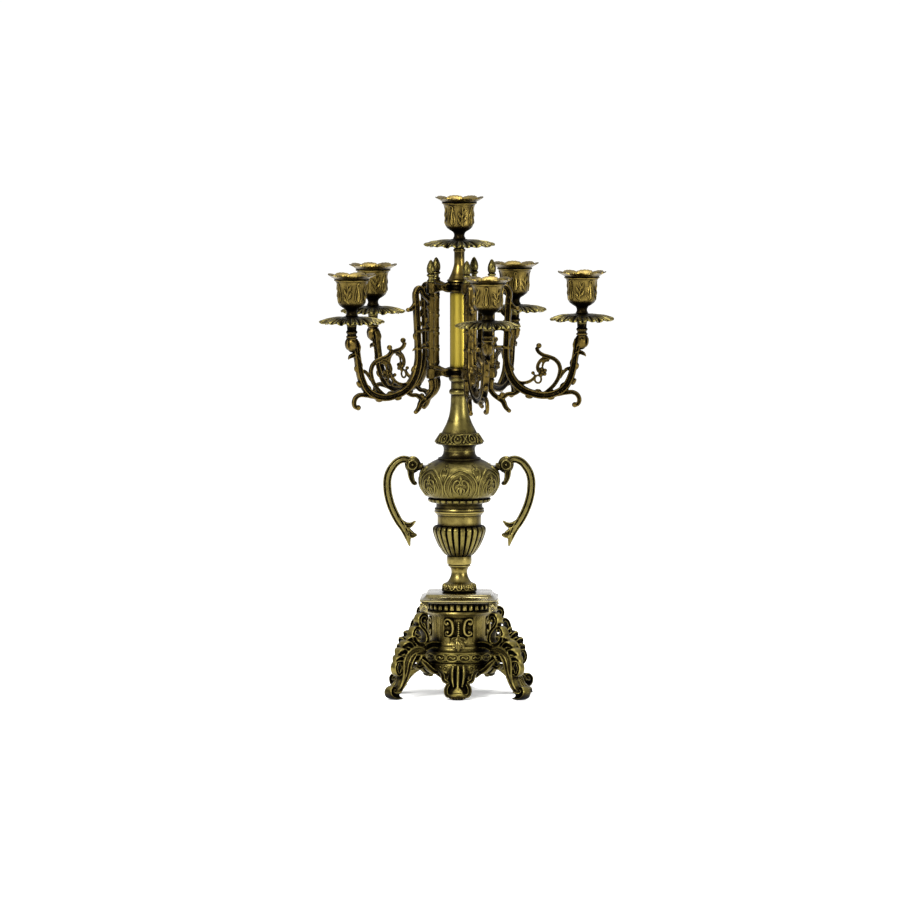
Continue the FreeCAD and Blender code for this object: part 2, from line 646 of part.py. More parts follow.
def drip_pan(name, radius, stud, **spot):
    """A thin drooping pan on a tapered boss. Its own zero is where the candle cup sits."""
    bore, thick = stud + cell("running_gap"), cell("pan_thick")
    under, droop = cell("pan_boss_tall"), cell("pan_droop")
    boss = cell("pan_boss_radius")
    turned(name, [
        (bore, 0 - under), (cell("seat_radius"), 0 - under), (boss, 0 - thick - 2),
        (boss + 2, 0 - thick - 0.5), (radius, 0 - droop - thick), (radius, 0 - droop),
        (boss, 0.001), (bore, 0.001)], **spot)


def candle_cup(name, stud, **spot):
    """A cup on a threaded stud with a straight candle bore and a flared rim."""
    wide, tall, neck = cell("candle_cup_radius"), cell("candle_cup_tall"), cell("cup_neck_tall")
    rim, thick = cell("candle_rim_radius"), cell("candle_rim_thick")
    thread, bore = stud + cell("running_gap"), cell("candle_bore_radius")
    blind = cell("stud_rise") + 0.5
    floor = tall - cell("candle_bore_deep")
    turned(name, [
        (thread, 0.002), (cell("seat_radius") + 1, 0.002), (cell("seat_radius"), neck),
        (wide, neck + cell("cup_round_tall"), 10.5), (wide, tall - 7),
        (rim, tall - thick, -14.0), (rim, tall), (bore, tall), (bore, floor),
        (0.001, floor), (0.001, blind), (thread, blind)], **spot)


arm_shape = arm()
for arm_name in ARMS:
    azimuth = cell(f"azimuth_{arm_name}")
    made(f"arm_{arm_name}", arm_shape, azimuth=azimuth)
    finial(f"finial_{arm_name}", azimuth)
    spot = {"height": arm_seat, "azimuth": azimuth, "out": cell("arm_reach")}
    drip_pan(f"pan_{arm_name}", cell("pan_radius"), cell("stud_radius"), **spot)
    candle_cup(f"candle_cup_{arm_name}", cell("stud_radius"), **spot)
arm_pins()
drip_pan("centre_pan", cell("centre_pan_radius"), cell("rod_radius"), height=centre_seat)
candle_cup("centre_candle_cup", cell("rod_radius"), height=centre_seat)

# ---------------------------------------------------------------- check and export

doc.recompute()
failed = [item.Label for item in doc.Objects if {"Invalid", "Error"} & set(item.State)]
failed += [name for name, piece in pieces.items()
           if piece.Shape.isNull() or not piece.Shape.isValid() or not piece.Shape.Solids]
if failed:
    raise SystemExit(f"these failed: {failed}")
os.makedirs("parts", exist_ok=True)
for name, piece in pieces.items():
    piece.Shape.exportStep(f"parts/{name}.step")
    print(name, len(piece.Shape.Solids), round(piece.Shape.Volume, 1))
print(len(pieces), "nodes")
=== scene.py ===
# %% [markdown]
# # A five-arm candelabra in antique brass
#
# The object is cast brass: each part was poured in sand, cleaned up, darkened with a patina and
# rubbed back, so raised edges are bright and hollows are almost black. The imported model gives
# every level and radius; the cells below build the castings round it, from the table up.

# %% Load the frame
import math

import bmesh
import bpy
from mathutils import Matrix, Vector


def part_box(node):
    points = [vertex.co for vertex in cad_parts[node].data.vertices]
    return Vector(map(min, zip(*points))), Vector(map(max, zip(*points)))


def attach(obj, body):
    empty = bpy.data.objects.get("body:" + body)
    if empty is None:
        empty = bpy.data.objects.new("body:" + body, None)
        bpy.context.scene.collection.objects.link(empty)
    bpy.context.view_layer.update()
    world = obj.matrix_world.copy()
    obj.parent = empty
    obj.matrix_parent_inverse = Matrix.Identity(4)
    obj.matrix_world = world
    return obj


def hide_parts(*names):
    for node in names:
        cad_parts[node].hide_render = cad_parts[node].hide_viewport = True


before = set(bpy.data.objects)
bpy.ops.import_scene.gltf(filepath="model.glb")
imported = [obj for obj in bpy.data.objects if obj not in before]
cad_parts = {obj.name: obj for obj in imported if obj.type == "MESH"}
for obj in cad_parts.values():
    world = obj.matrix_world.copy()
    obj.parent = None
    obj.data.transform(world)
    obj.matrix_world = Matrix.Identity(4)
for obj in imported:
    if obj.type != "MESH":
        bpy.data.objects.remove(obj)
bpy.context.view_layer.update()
MM = 0.001
print("nodes in the frame:", len(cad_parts))


def low_high(node):
    """The lowest and highest level of a node, in millimetres."""
    low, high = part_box(node)
    return low[2] / MM, high[2] / MM


def low_tall(node):
    """The lowest level of a node and how tall it is, in millimetres."""
    low, high = low_high(node)
    return low, high - low


def half_width(node):
    """Half of a round node's width, in millimetres."""
    low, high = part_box(node)
    return (high[0] - low[0]) / 2 / MM


def middle(node):
    """The centre of a node's box seen from above, in millimetres."""
    low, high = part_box(node)
    return (low[0] + high[0]) / 2 / MM, (low[1] + high[1]) / 2 / MM


def azimuth_of(node):
    """How far round from the front a node stands, in degrees."""
    across, along = middle(node)
    return math.degrees(math.atan2(across, -along))


# %% [markdown]
# ## Finishes
#
# Antique brass is made by darkening the whole casting and polishing the high parts back. In
# Blender the colour is darkened with ambient occlusion: where a point is shut in by the metal
# round it, also by other parts, it gets the dark colour. That paints the patina in the relief's
# hollows and also painted shade in creases, between parts and under them. A second, wider
# occlusion paints shade over whole hollows, an inward one finds the outer edges, which are
# rubbed bright, and a noise breaks the wear up. A painted mask would give the same look, but it
# would need a map.

# %% Colours and a node helper
def srgb(code):
    """An sRGB hex colour as linear RGBA."""
    parts = [int(code[i:i + 2], 16) / 255 for i in (1, 3, 5)]
    line = [c / 12.92 if c <= 0.04045 else ((c + 0.055) / 1.055) ** 2.4 for c in parts]
    return (*line, 1.0)


def node(tree, kind, links=None, **settings):
    """Adds a node, sets its properties or inputs and links its inputs to other nodes' outputs."""
    made = tree.nodes.new(kind)
    for name, value in settings.items():
        if hasattr(made, name):
            setattr(made, name, value)
        else:
            made.inputs[name.replace("_", " ")].default_value = value
    for name, source in (links or {}).items():
        tree.links.new(source, made.inputs[name])
    return made


def blank(name):
    """A new material with only its output."""
    material = bpy.data.materials.new(name)
    material.use_nodes = True
    tree = material.node_tree
    tree.nodes.clear()
    return material, tree, tree.nodes.new("ShaderNodeOutputMaterial")


def per_metre(size_mm):
    """The noise scale whose features are about this size."""
    return 1 / (size_mm * MM)


# %% Cast brass with a dark patina and painted shade
# sizes in millimetres: clouds in the patina, sand grain, width of a rubbed edge
BLOTCH, GRAIN, RUBBED_EDGE = 9, 0.9, 1.1
WIDE_REACH = 5      # the wide occlusion's reach, in near reaches
DEEPEN = 1.8        # how fast the patina and painted shade close in towards a hollow
EDGE_WEAR = 0.55    # how much an outer edge is brighter than a flat face


def patina_and_shade_brass(name, worn, open_face, dull, dark, grime, rough=0.36, lacquer=0.0, reach=4.5):
    """Brass whose edges are rubbed bright and whose hollows, creases and places between parts are
    darkened with patina and painted shade. reach is in millimetres.
    """
    material, tree, out = blank(name)
    coords = node(tree, "ShaderNodeTexCoord").outputs["Object"]
    cloud = node(tree, "ShaderNodeTexNoise", {"Vector": coords}, Scale=per_metre(BLOTCH),
                 Detail=5.0, Roughness=0.6)
    grit = node(tree, "ShaderNodeTexNoise", {"Vector": coords}, Scale=per_metre(GRAIN), Detail=3.0)
    # near and wide occlusion also see the other parts: they give patina in the relief and painted
    # shade in creases, in hollows, between parts and under them
    near = node(tree, "ShaderNodeAmbientOcclusion", samples=8, Distance=reach * MM)
    wide = node(tree, "ShaderNodeAmbientOcclusion", samples=6,
                Distance=reach * WIDE_REACH * MM)
    edge = node(tree, "ShaderNodeAmbientOcclusion", samples=6, inside=True,
                Distance=RUBBED_EDGE * MM)
    deepened = node(tree, "ShaderNodeMath", {0: near.outputs["AO"]}, operation="POWER")
    deepened.inputs[1].default_value = DEEPEN
    shut_in = node(tree, "ShaderNodeMath", {0: deepened.outputs[0], 1: wide.outputs["AO"]},
                   operation="MULTIPLY")
    # the edge wear is added to the patina and painted shade
    rubbed = node(tree, "ShaderNodeMath", {0: edge.outputs["AO"], 2: shut_in.outputs[0]},
                  operation="MULTIPLY_ADD")
    rubbed.inputs[1].default_value = -EDGE_WEAR
    uneven = node(tree, "ShaderNodeMath", {0: cloud.outputs["Fac"], 2: rubbed.outputs[0]},
                  operation="MULTIPLY_ADD")
    uneven.inputs[1].default_value = grime
    level = node(tree, "ShaderNodeMath", {0: uneven.outputs[0]}, operation="ADD")
    level.inputs[1].default_value = EDGE_WEAR - grime / 2
    # the dark end of the ramp is patina and painted shade, the bright end the rubbed edges
    ramp = node(tree, "ShaderNodeValToRGB", {"Fac": level.outputs[0]})
    stops = ramp.color_ramp.elements
    stops[0].position, stops[0].color = 0.22, srgb(dark)
    stops[1].position, stops[1].color = 1.0, srgb(worn)
    for position, code in ((0.56, dull), (0.84, open_face)):
        stops.new(position).color = srgb(code)
    roughness = node(tree, "ShaderNodeMapRange", {"Value": level.outputs[0]})
    for socket, value in (("From Min", 0.2), ("From Max", 0.95), ("To Min", rough + 0.3),
                          ("To Max", rough)):
        roughness.inputs[socket].default_value = value
    bump = node(tree, "ShaderNodeBump", {"Height": grit.outputs["Fac"]}, Strength=0.25,
                Distance=0.12 * MM)
    shader = node(tree, "ShaderNodeBsdfPrincipled",
                  {"Base Color": ramp.outputs["Color"], "Roughness": roughness.outputs["Result"],
                   "Normal": bump.outputs["Normal"]}, Metallic=1.0, Coat_Weight=lacquer,
                  Coat_Roughness=0.14)
    tree.links.new(shader.outputs["BSDF"], out.inputs["Surface"])
    return material


# colours from worn edge to hollow, the hollow's colour being patina and painted shade; the
# castings keep a strong blotchy grime and show gold only on ridges
cast_brass = patina_and_shade_brass(
    "cast antique brass", "#6e6435", "#372f18", "#19140a", "#050402", 0.85)
# legs and feet are touched more, so their ridges are brighter
leg_brass = patina_and_shade_brass(
    "rubbed leg brass", "#7c703b", "#41391c", "#1e180b", "#050402", 0.8)
# handles are held, so there is little grime on the bow
handle_brass = patina_and_shade_brass(
    "rubbed handle brass", "#71673a", "#443c1f", "#221c0d", "#060503", 0.7)
# the arms are the darkest: almost black, with gold glints along their outer edges
dark_brass = patina_and_shade_brass(
    "dark cast arm brass", "#574821", "#1a150b", "#0b0805", "#030201", 0.75, rough=0.38)
# turned parts were polished on the lathe: bright faces, with patina and painted shade only in the
# creases
turned_brass = patina_and_shade_brass(
    "turned antique brass", "#897b45", "#5b5028", "#2c2511", "#070603", 0.65, rough=0.3)
# the plate is polished and lacquered, so its top mirrors the pale room
plate_brass = patina_and_shade_brass(
    "lacquered plate brass", "#8c7f49", "#62572d", "#2f2813", "#070603", 0.6, rough=0.2,
    lacquer=0.85)
# the cups are browner and a little smoother than the other castings
cup_brass = patina_and_shade_brass(
    "brown cup brass", "#756431", "#332a15", "#140f07", "#040301", 0.85, rough=0.32)
# the tube was drawn, not cast: an even satin yellow with hardly any patina
tube_brass = patina_and_shade_brass(
    "satin drawn brass tube", "#988635", "#867628", "#60521b", "#1a1505", 0.14)
print("brass finishes made")


# %% [markdown]
# ### Steel
#
# The rod, nut, washer and screws are plain machined steel, seen only from below. One metal
# shader with a faint blotch is enough for them; a turned grain would be too fine to show.

# %% Plain steel for the hidden fasteners
def plain_steel(name):
    """Bare mild steel, slightly blotched with oil."""
    material, tree, out = blank(name)
    coords = node(tree, "ShaderNodeTexCoord").outputs["Object"]
    cloud = node(tree, "ShaderNodeTexNoise", {"Vector": coords}, Scale=per_metre(4), Detail=4.0)
    ramp = node(tree, "ShaderNodeValToRGB", {"Fac": cloud.outputs["Fac"]})
    ramp.color_ramp.elements[0].color = srgb("#4d4b48")
    ramp.color_ramp.elements[1].color = srgb("#8a8884")
    shader = node(tree, "ShaderNodeBsdfPrincipled", {"Base Color": ramp.outputs["Color"]},
                  Metallic=1.0, Roughness=0.42)
    tree.links.new(shader.outputs["BSDF"], out.inputs["Surface"])
    return material


steel = plain_steel("oiled mild steel")
print("steel finish made")

# %% [markdown]
# ## Shaping tools
#
# Most of the column was turned or cast round, so its parts are spun from half outlines. Every
# scroll is one cross-section swept along a flat curve; the section has a groove in its face,
# like the real ones. An ornament on a round part is made flat and then wrapped onto it, which
# is easier to draw than on the round. All lengths here are millimetres; finished() brings a
# piece to metres.

# %% Spin a half outline
STEPS = 144         # faces round a turned part
TOUCHING = 1e-6     # points nearer than this are one point
DOUBLE = 1e-4       # vertices nearer than this are merged


def flowing(points, step=1.2):
    """A smooth line through points of an outline, with one point about every step millimetres."""
    points = [Vector(p) for p in points]
    ends = [points[0] * 2 - points[1]] + points + [points[-1] * 2 - points[-2]]
    line = [points[0]]
    for before, start, end, after in zip(ends, ends[1:], ends[2:], ends[3:]):
        count = max(1, round((end - start).length / step))
        for i in range(1, count + 1):
            t = i / count
            line.append(0.5 * (2 * start + (end - before) * t
                               + (2 * before - 5 * start + 4 * end - after) * t ** 2
                               + (3 * start - before - 3 * end + after) * t ** 3))
    return line


def spun(bm, runs, steps=STEPS, up=0.0):
    """Spins smooth runs of (radius, height over up), which meet at creases, round the axis."""
    outline = []
    for run in ([(radius, up + height) for radius, height in run] for run in runs):
        line = flowing(run) if len(run) > 2 else [Vector(p) for p in run]
        outline += line[1:] if outline and (line[0] - outline[-1]).length < TOUCHING else line
    verts = [bm.verts.new((radius, 0, height)) for radius, height in outline]
    edges = [bm.edges.new(pair) for pair in zip(verts, verts[1:])]
    if (outline[0] - outline[-1]).length < TOUCHING:
        bmesh.ops.pointmerge(bm, verts=[verts[0], verts[-1]], merge_co=verts[0].co)
        verts.pop()
        edges = [edge for edge in edges if edge.is_valid]
    bmesh.ops.spin(bm, geom=verts + edges, cent=(0, 0, 0), axis=(0, 0, 1), dvec=(0, 0, 0),
                   angle=math.tau, steps=steps, use_merge=True, use_duplicate=False)
    bmesh.ops.remove_doubles(bm, verts=bm.verts[:], dist=DOUBLE)
    bmesh.ops.recalc_face_normals(bm, faces=bm.faces[:])
    return bm


def carved(bm, relief):
    """Moves each point by relief(angle, radius, height), which gives its new radius and height."""
    for vert in bm.verts:
        radius, angle = math.hypot(vert.co.x, vert.co.y), math.atan2(vert.co.x, -vert.co.y)
        if radius < TOUCHING:
            continue
        wide, high = relief(angle, radius, vert.co.z)
        vert.co.x *= wide / radius
        vert.co.y *= wide / radius
        vert.co.z = high
    return bm


# %% Sweep a scroll along a flat curve
def section(name, outline):
    """A closed cross-section for scrolls, as a curve whose half width is 1."""
    curve = bpy.data.curves.new(name, "CURVE")
    curve.dimensions = "2D"
    spline = curve.splines.new("POLY")
    spline.points.add(len(outline) - 1)
    for point, (across, deep) in zip(spline.points, outline):
        point.co = (across, deep, 0, 1)
    spline.use_cyclic_u = True
    return bpy.data.objects.new(name, curve)


half_grooved = [(1.0, 0.0), (0.97, 0.5), (0.82, 0.88), (0.6, 0.9), (0.38, 0.5), (0.0, 0.36),
                (-0.38, 0.5), (-0.6, 0.9), (-0.82, 0.88), (-0.97, 0.5), (-1.0, 0.0)]
GROOVED = section("grooved", half_grooved + [(x, -y) for x, y in reversed(half_grooved[1:-1])])
half_banded = [(1.0, 0.0), (0.98, 0.55), (0.92, 0.9), (0.78, 0.92), (0.67, 0.38), (0.53, 0.38),
               (0.42, 0.8), (0.0, 0.86), (-0.42, 0.8), (-0.53, 0.38), (-0.67, 0.38), (-0.78, 0.92),
               (-0.92, 0.9), (-0.98, 0.55), (-1.0, 0.0)]
BANDED = section("banded", half_banded + [(x, -y) for x, y in reversed(half_banded[1:-1])])
ROUND = section("round", [(math.cos(turn * math.tau / 10), math.sin(turn * math.tau / 10))
                          for turn in range(10)])
print("sections:", GROOVED.name, BANDED.name, ROUND.name)


def scroll(bm, points, widths, shape=ROUND, deep=1.0, smooth=4, cyclic=False, up=0.0, side=1):
    """Sweeps a section along points (across, height over up) in the plane y = 0.

    widths are half widths, one for all or one for each point. A side of -1 mirrors the line.
    """
    curve = bpy.data.curves.new("scroll", "CURVE")
    curve.dimensions, curve.twist_mode = "3D", "Z_UP"
    curve.bevel_mode, curve.bevel_object = "OBJECT", shape
    curve.use_fill_caps, curve.resolution_u = True, smooth
    spline = curve.splines.new("BEZIER")
    spline.bezier_points.add(len(points) - 1)
    spline.use_cyclic_u = cyclic
    for i, (point, (across, height)) in enumerate(zip(spline.bezier_points, points)):
        point.co = (side * across, up + height, 0)
        point.handle_left_type = point.handle_right_type = "AUTO"
        point.radius = widths[i] if isinstance(widths, (list, tuple)) else widths
    holder = bpy.data.objects.new("scroll", curve)
    bpy.context.scene.collection.objects.link(holder)
    mesh = bpy.data.meshes.new_from_object(
        holder.evaluated_get(bpy.context.evaluated_depsgraph_get()))
    fresh = bmesh.new()
    fresh.from_mesh(mesh)
    bmesh.ops.scale(fresh, vec=(1, 1, deep), verts=fresh.verts)
    bmesh.ops.rotate(fresh, matrix=Matrix.Rotation(math.pi / 2, 3, "X"), verts=fresh.verts)
    bmesh.ops.remove_doubles(fresh, verts=fresh.verts[:], dist=DOUBLE)
    bmesh.ops.recalc_face_normals(fresh, faces=fresh.faces[:])
    add(bm, fresh)
    bpy.data.objects.remove(holder)
    bpy.data.curves.remove(curve)
    bpy.data.meshes.remove(mesh)
    return bm


def add(bm, other):
    """Adds a mesh to another and frees it."""
    keep = bpy.data.meshes.new("joined")
    other.to_mesh(keep)
    bm.from_mesh(keep)
    bpy.data.meshes.remove(keep)
    other.free()
    return bm


def ball(bm, spot, radius, squash=(1, 1, 1), detail=2):
    """A round knob, squashed along X, Y or Z."""
    made = bmesh.ops.create_icosphere(bm, subdivisions=detail, radius=radius)["verts"]
    bmesh.ops.scale(bm, vec=squash, verts=made)
    bmesh.ops.translate(bm, vec=spot, verts=made)
    return made


def turned_to(bm, azimuth, out=0.0, up=0.0):
    """Turns a piece made along +X to stand at an azimuth from the front, out from the axis."""
    bmesh.ops.translate(bm, vec=(out, 0, up), verts=bm.verts)
    bmesh.ops.rotate(bm, cent=(0, 0, 0), verts=bm.verts,
                     matrix=Matrix.Rotation(math.radians(azimuth - 90), 3, "Z"))
    return bm


def wrapped(bm, surface, reference, azimuth=0.0, lift=0.0):
    """Bends a flat ornament, whose front is -Y, onto a round surface of radius surface(z)."""
    for vert in bm.verts:
        angle = vert.co.x / reference + math.radians(azimuth)
        radius = surface(vert.co.z) + lift - vert.co.y
        vert.co.x, vert.co.y = radius * math.sin(angle), -radius * math.cos(angle)
    return bm


def surface_of(run, up=0.0):
    """The radius at a height of a smooth run that rises or falls all the way."""
    line = sorted((p[1], p[0]) for p in flowing([(radius, up + height) for radius, height in run]))

    def radius(height):
        if height <= line[0][0]:
            return line[0][1]
        for (low, start), (high, end) in zip(line, line[1:]):
            if height <= high:
                return start + (end - start) * (height - low) / max(high - low, 1e-9)
        return line[-1][1]
    return radius


# %% [markdown]
# ### One casting, one skin
#
# The legs, arms and handles are single castings whose scrolls run into each other with soft
# fillets. A Boolean union would leave sharp creases there, so the overlapping scrolls are
# melted into one skin by a voxel remesh and smoothed a little.

# %% Cast it: melt the parts of a casting together
def cast(bm, voxel):
    """Remeshes overlapping parts into one skin and softens it, as a casting comes out of sand."""
    holder = bpy.data.objects.new("casting", bpy.data.meshes.new("casting"))
    bm.to_mesh(holder.data)
    bpy.context.scene.collection.objects.link(holder)
    melt = holder.modifiers.new("melt", "REMESH")
    melt.mode, melt.voxel_size = "VOXEL", voxel
    mesh = bpy.data.meshes.new_from_object(
        holder.evaluated_get(bpy.context.evaluated_depsgraph_get()))
    bm.clear()
    bm.from_mesh(mesh)
    bmesh.ops.smooth_vert(bm, verts=bm.verts, factor=0.5, use_axis_x=True, use_axis_y=True,
                          use_axis_z=True)
    bpy.data.objects.remove(holder)
    bpy.data.meshes.remove(mesh)
    return bm


def finished(bm, name, material, body, *nodes, crease=38):
    """Makes the piece in metres, with its finish and body, and hides the nodes it stands for."""
    bmesh.ops.scale(bm, vec=(MM, MM, MM), verts=bm.verts)
    mesh = bpy.data.meshes.new(name)
    bm.to_mesh(mesh)
    bm.free()
    mesh.polygons.foreach_set("use_smooth", [True] * len(mesh.polygons))
    mesh.set_sharp_from_angle(angle=math.radians(crease))
    mesh.materials.append(material)
    piece = bpy.data.objects.new(name, mesh)
    bpy.context.scene.collection.objects.link(piece)
    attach(piece, body)
    if nodes:
        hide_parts(*nodes)
    print(name, len(mesh.polygons), "faces")
    return piece


STAND = "stand"
BORE = 3.2          # radius of the hole for the tie rod

# %% [markdown]
# ## The base
#
# A square plate stands on a drum, the drum on a ring, and the ring on eight legs. The whole
# base is turned a little about the column, which the corner legs' places in the frame show.

# %% Square plate with a cove under its edge
BASE_TURN = azimuth_of("corner_leg_1") - 45
TURN = Matrix.Rotation(math.radians(BASE_TURN), 3, "Z")
FACES = [BASE_TURN + quarter for quarter in (0, 90, 180, 270)]
print("base turned by", round(BASE_TURN, 2), "degrees")


def squared(bm, levels):
    """A moulding with clipped corners through levels of (half width, height), with both lids."""
    corners = bmesh.ops.create_grid(bm, x_segments=1, y_segments=1, size=1.0)["verts"]
    bmesh.ops.bevel(bm, geom=corners, offset=0.13, segments=3, profile=0.25, affect="VERTICES",
                    material=-1)
    face = bm.faces[:][0]
    size, level = 1.0, 0.0
    for i, (half, up) in enumerate(levels):
        if i:
            grown = bmesh.ops.extrude_face_region(bm, geom=[face])["geom"]
            bmesh.ops.delete(bm, geom=[face], context="FACES")
            face = [item for item in grown if isinstance(item, bmesh.types.BMFace)][0]
        bmesh.ops.scale(bm, vec=(half / size, half / size, 1), verts=face.verts)
        bmesh.ops.translate(bm, vec=(0, 0, up - level), verts=face.verts)
        size, level = half, up
        if not i:
            bmesh.ops.duplicate(bm, geom=[face] + list(face.edges) + list(face.verts))
    bmesh.ops.remove_doubles(bm, verts=bm.verts[:], dist=DOUBLE)
    bmesh.ops.recalc_face_normals(bm, faces=bm.faces[:])
    return bm


def brick(bm, spot, size, bevel=0.25):
    """A block with softened edges."""
    made = bmesh.ops.create_cube(bm, size=1.0)["verts"]
    bmesh.ops.scale(bm, vec=size, verts=made)
    bmesh.ops.translate(bm, vec=spot, verts=made)
    edges = {edge for vert in made for edge in vert.link_edges}
    bmesh.ops.bevel(bm, geom=list(edges), offset=bevel, segments=2, profile=0.5, affect="EDGES",
                    material=-1)
    return bm


PLATE_TOP = low_high("top_plate")[1]
CORNER = 34.2       # how far the corner blocks stand out along each side
BLOCK = 3.7         # half a block's width
drop = [(31.6, 0.0), (32.2, 0.3), (32.5, 0.9), (32.9, 1.9), (33.8, 3.0), (35.2, 4.0), (37.0, 4.7),
        (38.2, 5.0), (38.7, 5.5), (38.7, 6.5), (38.0, 7.1), (36.4, 7.5), (34.4, 7.5), (34.0, 8.6)]
plate = squared(bmesh.new(), [(half, PLATE_TOP - down) for half, down in drop])
for side_x in (-1, 1):
    for side_y in (-1, 1):
        spot = Vector((CORNER * side_x, CORNER * side_y, PLATE_TOP - 12.4))
        brick(plate, spot, (2 * BLOCK, 2 * BLOCK, 9.8), 0.5)
        for lobe in range(-2, 3):
            for face_x, face_y in ((0, side_y), (side_x, 0)):
                fan = Vector((lobe * 1.1 * abs(face_y) + BLOCK * face_x,
                              lobe * 1.1 * abs(face_x) + BLOCK * face_y, 2.0 - 0.45 * lobe ** 2))
                ball(plate, spot + fan, 1.0, (0.8, 0.8, 1.7))
        ball(plate, spot + Vector((BLOCK * side_x, 0, -2.4)), 1.1)
        ball(plate, spot + Vector((0, BLOCK * side_y, -2.4)), 1.1)
bmesh.ops.rotate(plate, cent=(0, 0, 0), matrix=TURN, verts=plate.verts)
finished(plate, "square_plate", plate_brass, STAND, "top_plate")

# %% [markdown]
# ### The drum
#
# The drum's wall is spun, with fine upright file marks. On each of its four sides sit two
# C-scrolls back to back, a string of beads and a three-lobed leaf. A band of small blocks runs
# under the plate.

# %% Drum and frieze
DRUM_LOW, DRUM_TALL = low_tall("base_drum")
DRUM_WALL = 30.5
BLOCKS = 32         # blocks in the frieze
SINK = 2.0          # how deep the ground under the ornament is sunk


def file_marks(angle, radius, height):
    """Fine upright lines, and a sunk ground under the ornament in the middle of each side."""
    up = height - DRUM_LOW
    if not 5 < up < 33 or radius < 28:
        return radius, height
    across = abs(((math.degrees(angle) - BASE_TURN + 45) % 90 - 45) * math.radians(DRUM_WALL))
    half = 15.6 if up > 11.5 else 4.0 + (up - 5) * 0.9
    ground = max(0.0, min(1.0, (half - across) / 1.2)) * max(0.0, min(1.0, (up - 5.5) / 1.5))
    line = math.sin(97 * angle) + math.sin(61 * angle + 1.3) + math.sin(143 * angle + 0.4)
    return radius + 0.09 * line - SINK * ground * min(1.0, max(0.0, (31 - up) / 1.5)), height


drum = spun(bmesh.new(), [
    [(BORE, 0), (33.2, 0)], [(33.2, 0), (33.2, 1.6)],
    [(33.2, 1.6), (31.8, 2.6), (30.9, 4.4), (DRUM_WALL, 8), (DRUM_WALL - 0.2, 20), (30.6, 29),
     (31.4, 32), (33.2, 33.8)], [(33.2, 33.8), (34.0, 35), (33.4, 36.4), (30.2, 36.8)],
    [(30.2, 36.8), (30.2, DRUM_TALL - 1.8)],
    [(30.2, DRUM_TALL - 1.8), (33.0, DRUM_TALL - 1.2), (33.2, DRUM_TALL)],
    [(33.8, DRUM_TALL), (BORE, DRUM_TALL)], [(BORE, DRUM_TALL), (BORE, 0)]], 288, up=DRUM_LOW)
carved(drum, file_marks)
for count in range(BLOCKS):
    unit = bmesh.new()
    middle_up = DRUM_LOW + DRUM_TALL - 5.6
    brick(unit, (0, 0.6, middle_up), (3.5, 4.4, 5.4), 0.5)
    brick(unit, (0, -1.7, middle_up), (1.5, 0.6, 3.0), 0.2)
    add(drum, wrapped(unit, lambda z: 31.6, 31.6, BASE_TURN + 360 / BLOCKS * count))
drum_wall = surface_of([(33.4, -1), (33.2, 1.6), (31.8, 2.6), (30.4, 5), (29.6, 9), (29.4, 34)],
                       DRUM_LOW)
for azimuth in FACES:
    panel = bmesh.new()
    for side in (-1, 1):
        scroll(panel, [(10.8, 23.4), (13.6, 24.4), (13.9, 27.4), (11.0, 29.2), (7.8, 27.8),
                       (5.9, 23.4), (5.5, 18.4), (7.2, 14.0), (10.8, 12.8), (13.2, 15.0),
                       (11.0, 17.2)],
               [1.2, 1.3, 1.5, 1.7, 1.8, 1.9, 1.9, 1.8, 1.6, 1.4, 1.2], ROUND, 1.35, up=DRUM_LOW,
               side=side)
        ball(panel, (side * 11.0, -0.6, DRUM_LOW + 24.8), 1.9)
        ball(panel, (side * 10.8, -0.6, DRUM_LOW + 16.0), 1.7)
        scroll(panel, [(1.2, 10.0), (4.6, 8.6), (7.4, 5.0)], [1.8, 2.8, 0.5], GROOVED, 1.0,
               up=DRUM_LOW, side=side)
        scroll(panel, [(1.0, 5.8), (3.7, 3.8), (5.0, 0.2)], [1.5, 2.2, 0.4], GROOVED, 1.0,
               up=DRUM_LOW, side=side)
    for bead in range(7):
        ball(panel, (0, -0.6, DRUM_LOW + 13.4 + bead * 2.0), 1.1, detail=1)
    scroll(panel, [(0, 12.6), (0, 8.4), (0, 2.4), (0, -3.0)], [1.2, 2.5, 2.8, 0.4], GROOVED, 0.75,
           up=DRUM_LOW)
    add(drum, wrapped(panel, drum_wall, DRUM_WALL, azimuth))
finished(drum, "drum", turned_brass, STAND, "base_drum")

# %% [markdown]
# ### The ring, its cartouches and its apron
#
# A band of small framed panels runs round the ring. Below it hangs an apron whose edge drops to
# each centre foot and rises to each corner leg.

# %% Ring and apron
RING_LOW, RING_TALL = low_tall("foot_ring")
LOWEST = 19.0       # how low the apron hangs at a centre foot
PANELS = 18


def apron_edge(angle):
    """How low the apron hangs at an angle from the front."""
    turn = (math.degrees(angle) - BASE_TURN + 45) % 90 - 45
    away = min(1.0, max(0.0, (abs(turn) - 32) / 13))
    rise = away * away * (3 - 2 * away)
    return LOWEST + 7.5 * rise + 0.7 * math.cos(math.radians(turn * 16))


def hang(angle, radius, height):
    """Draws the apron's wall down to its edge, bowed outwards."""
    top = RING_LOW + 5
    if height > top:
        return radius, height
    share = (top - height) / (top - LOWEST)
    bow = 1.6 * math.sin(share * math.pi)
    return radius + bow, top - share * (top - apron_edge(angle))


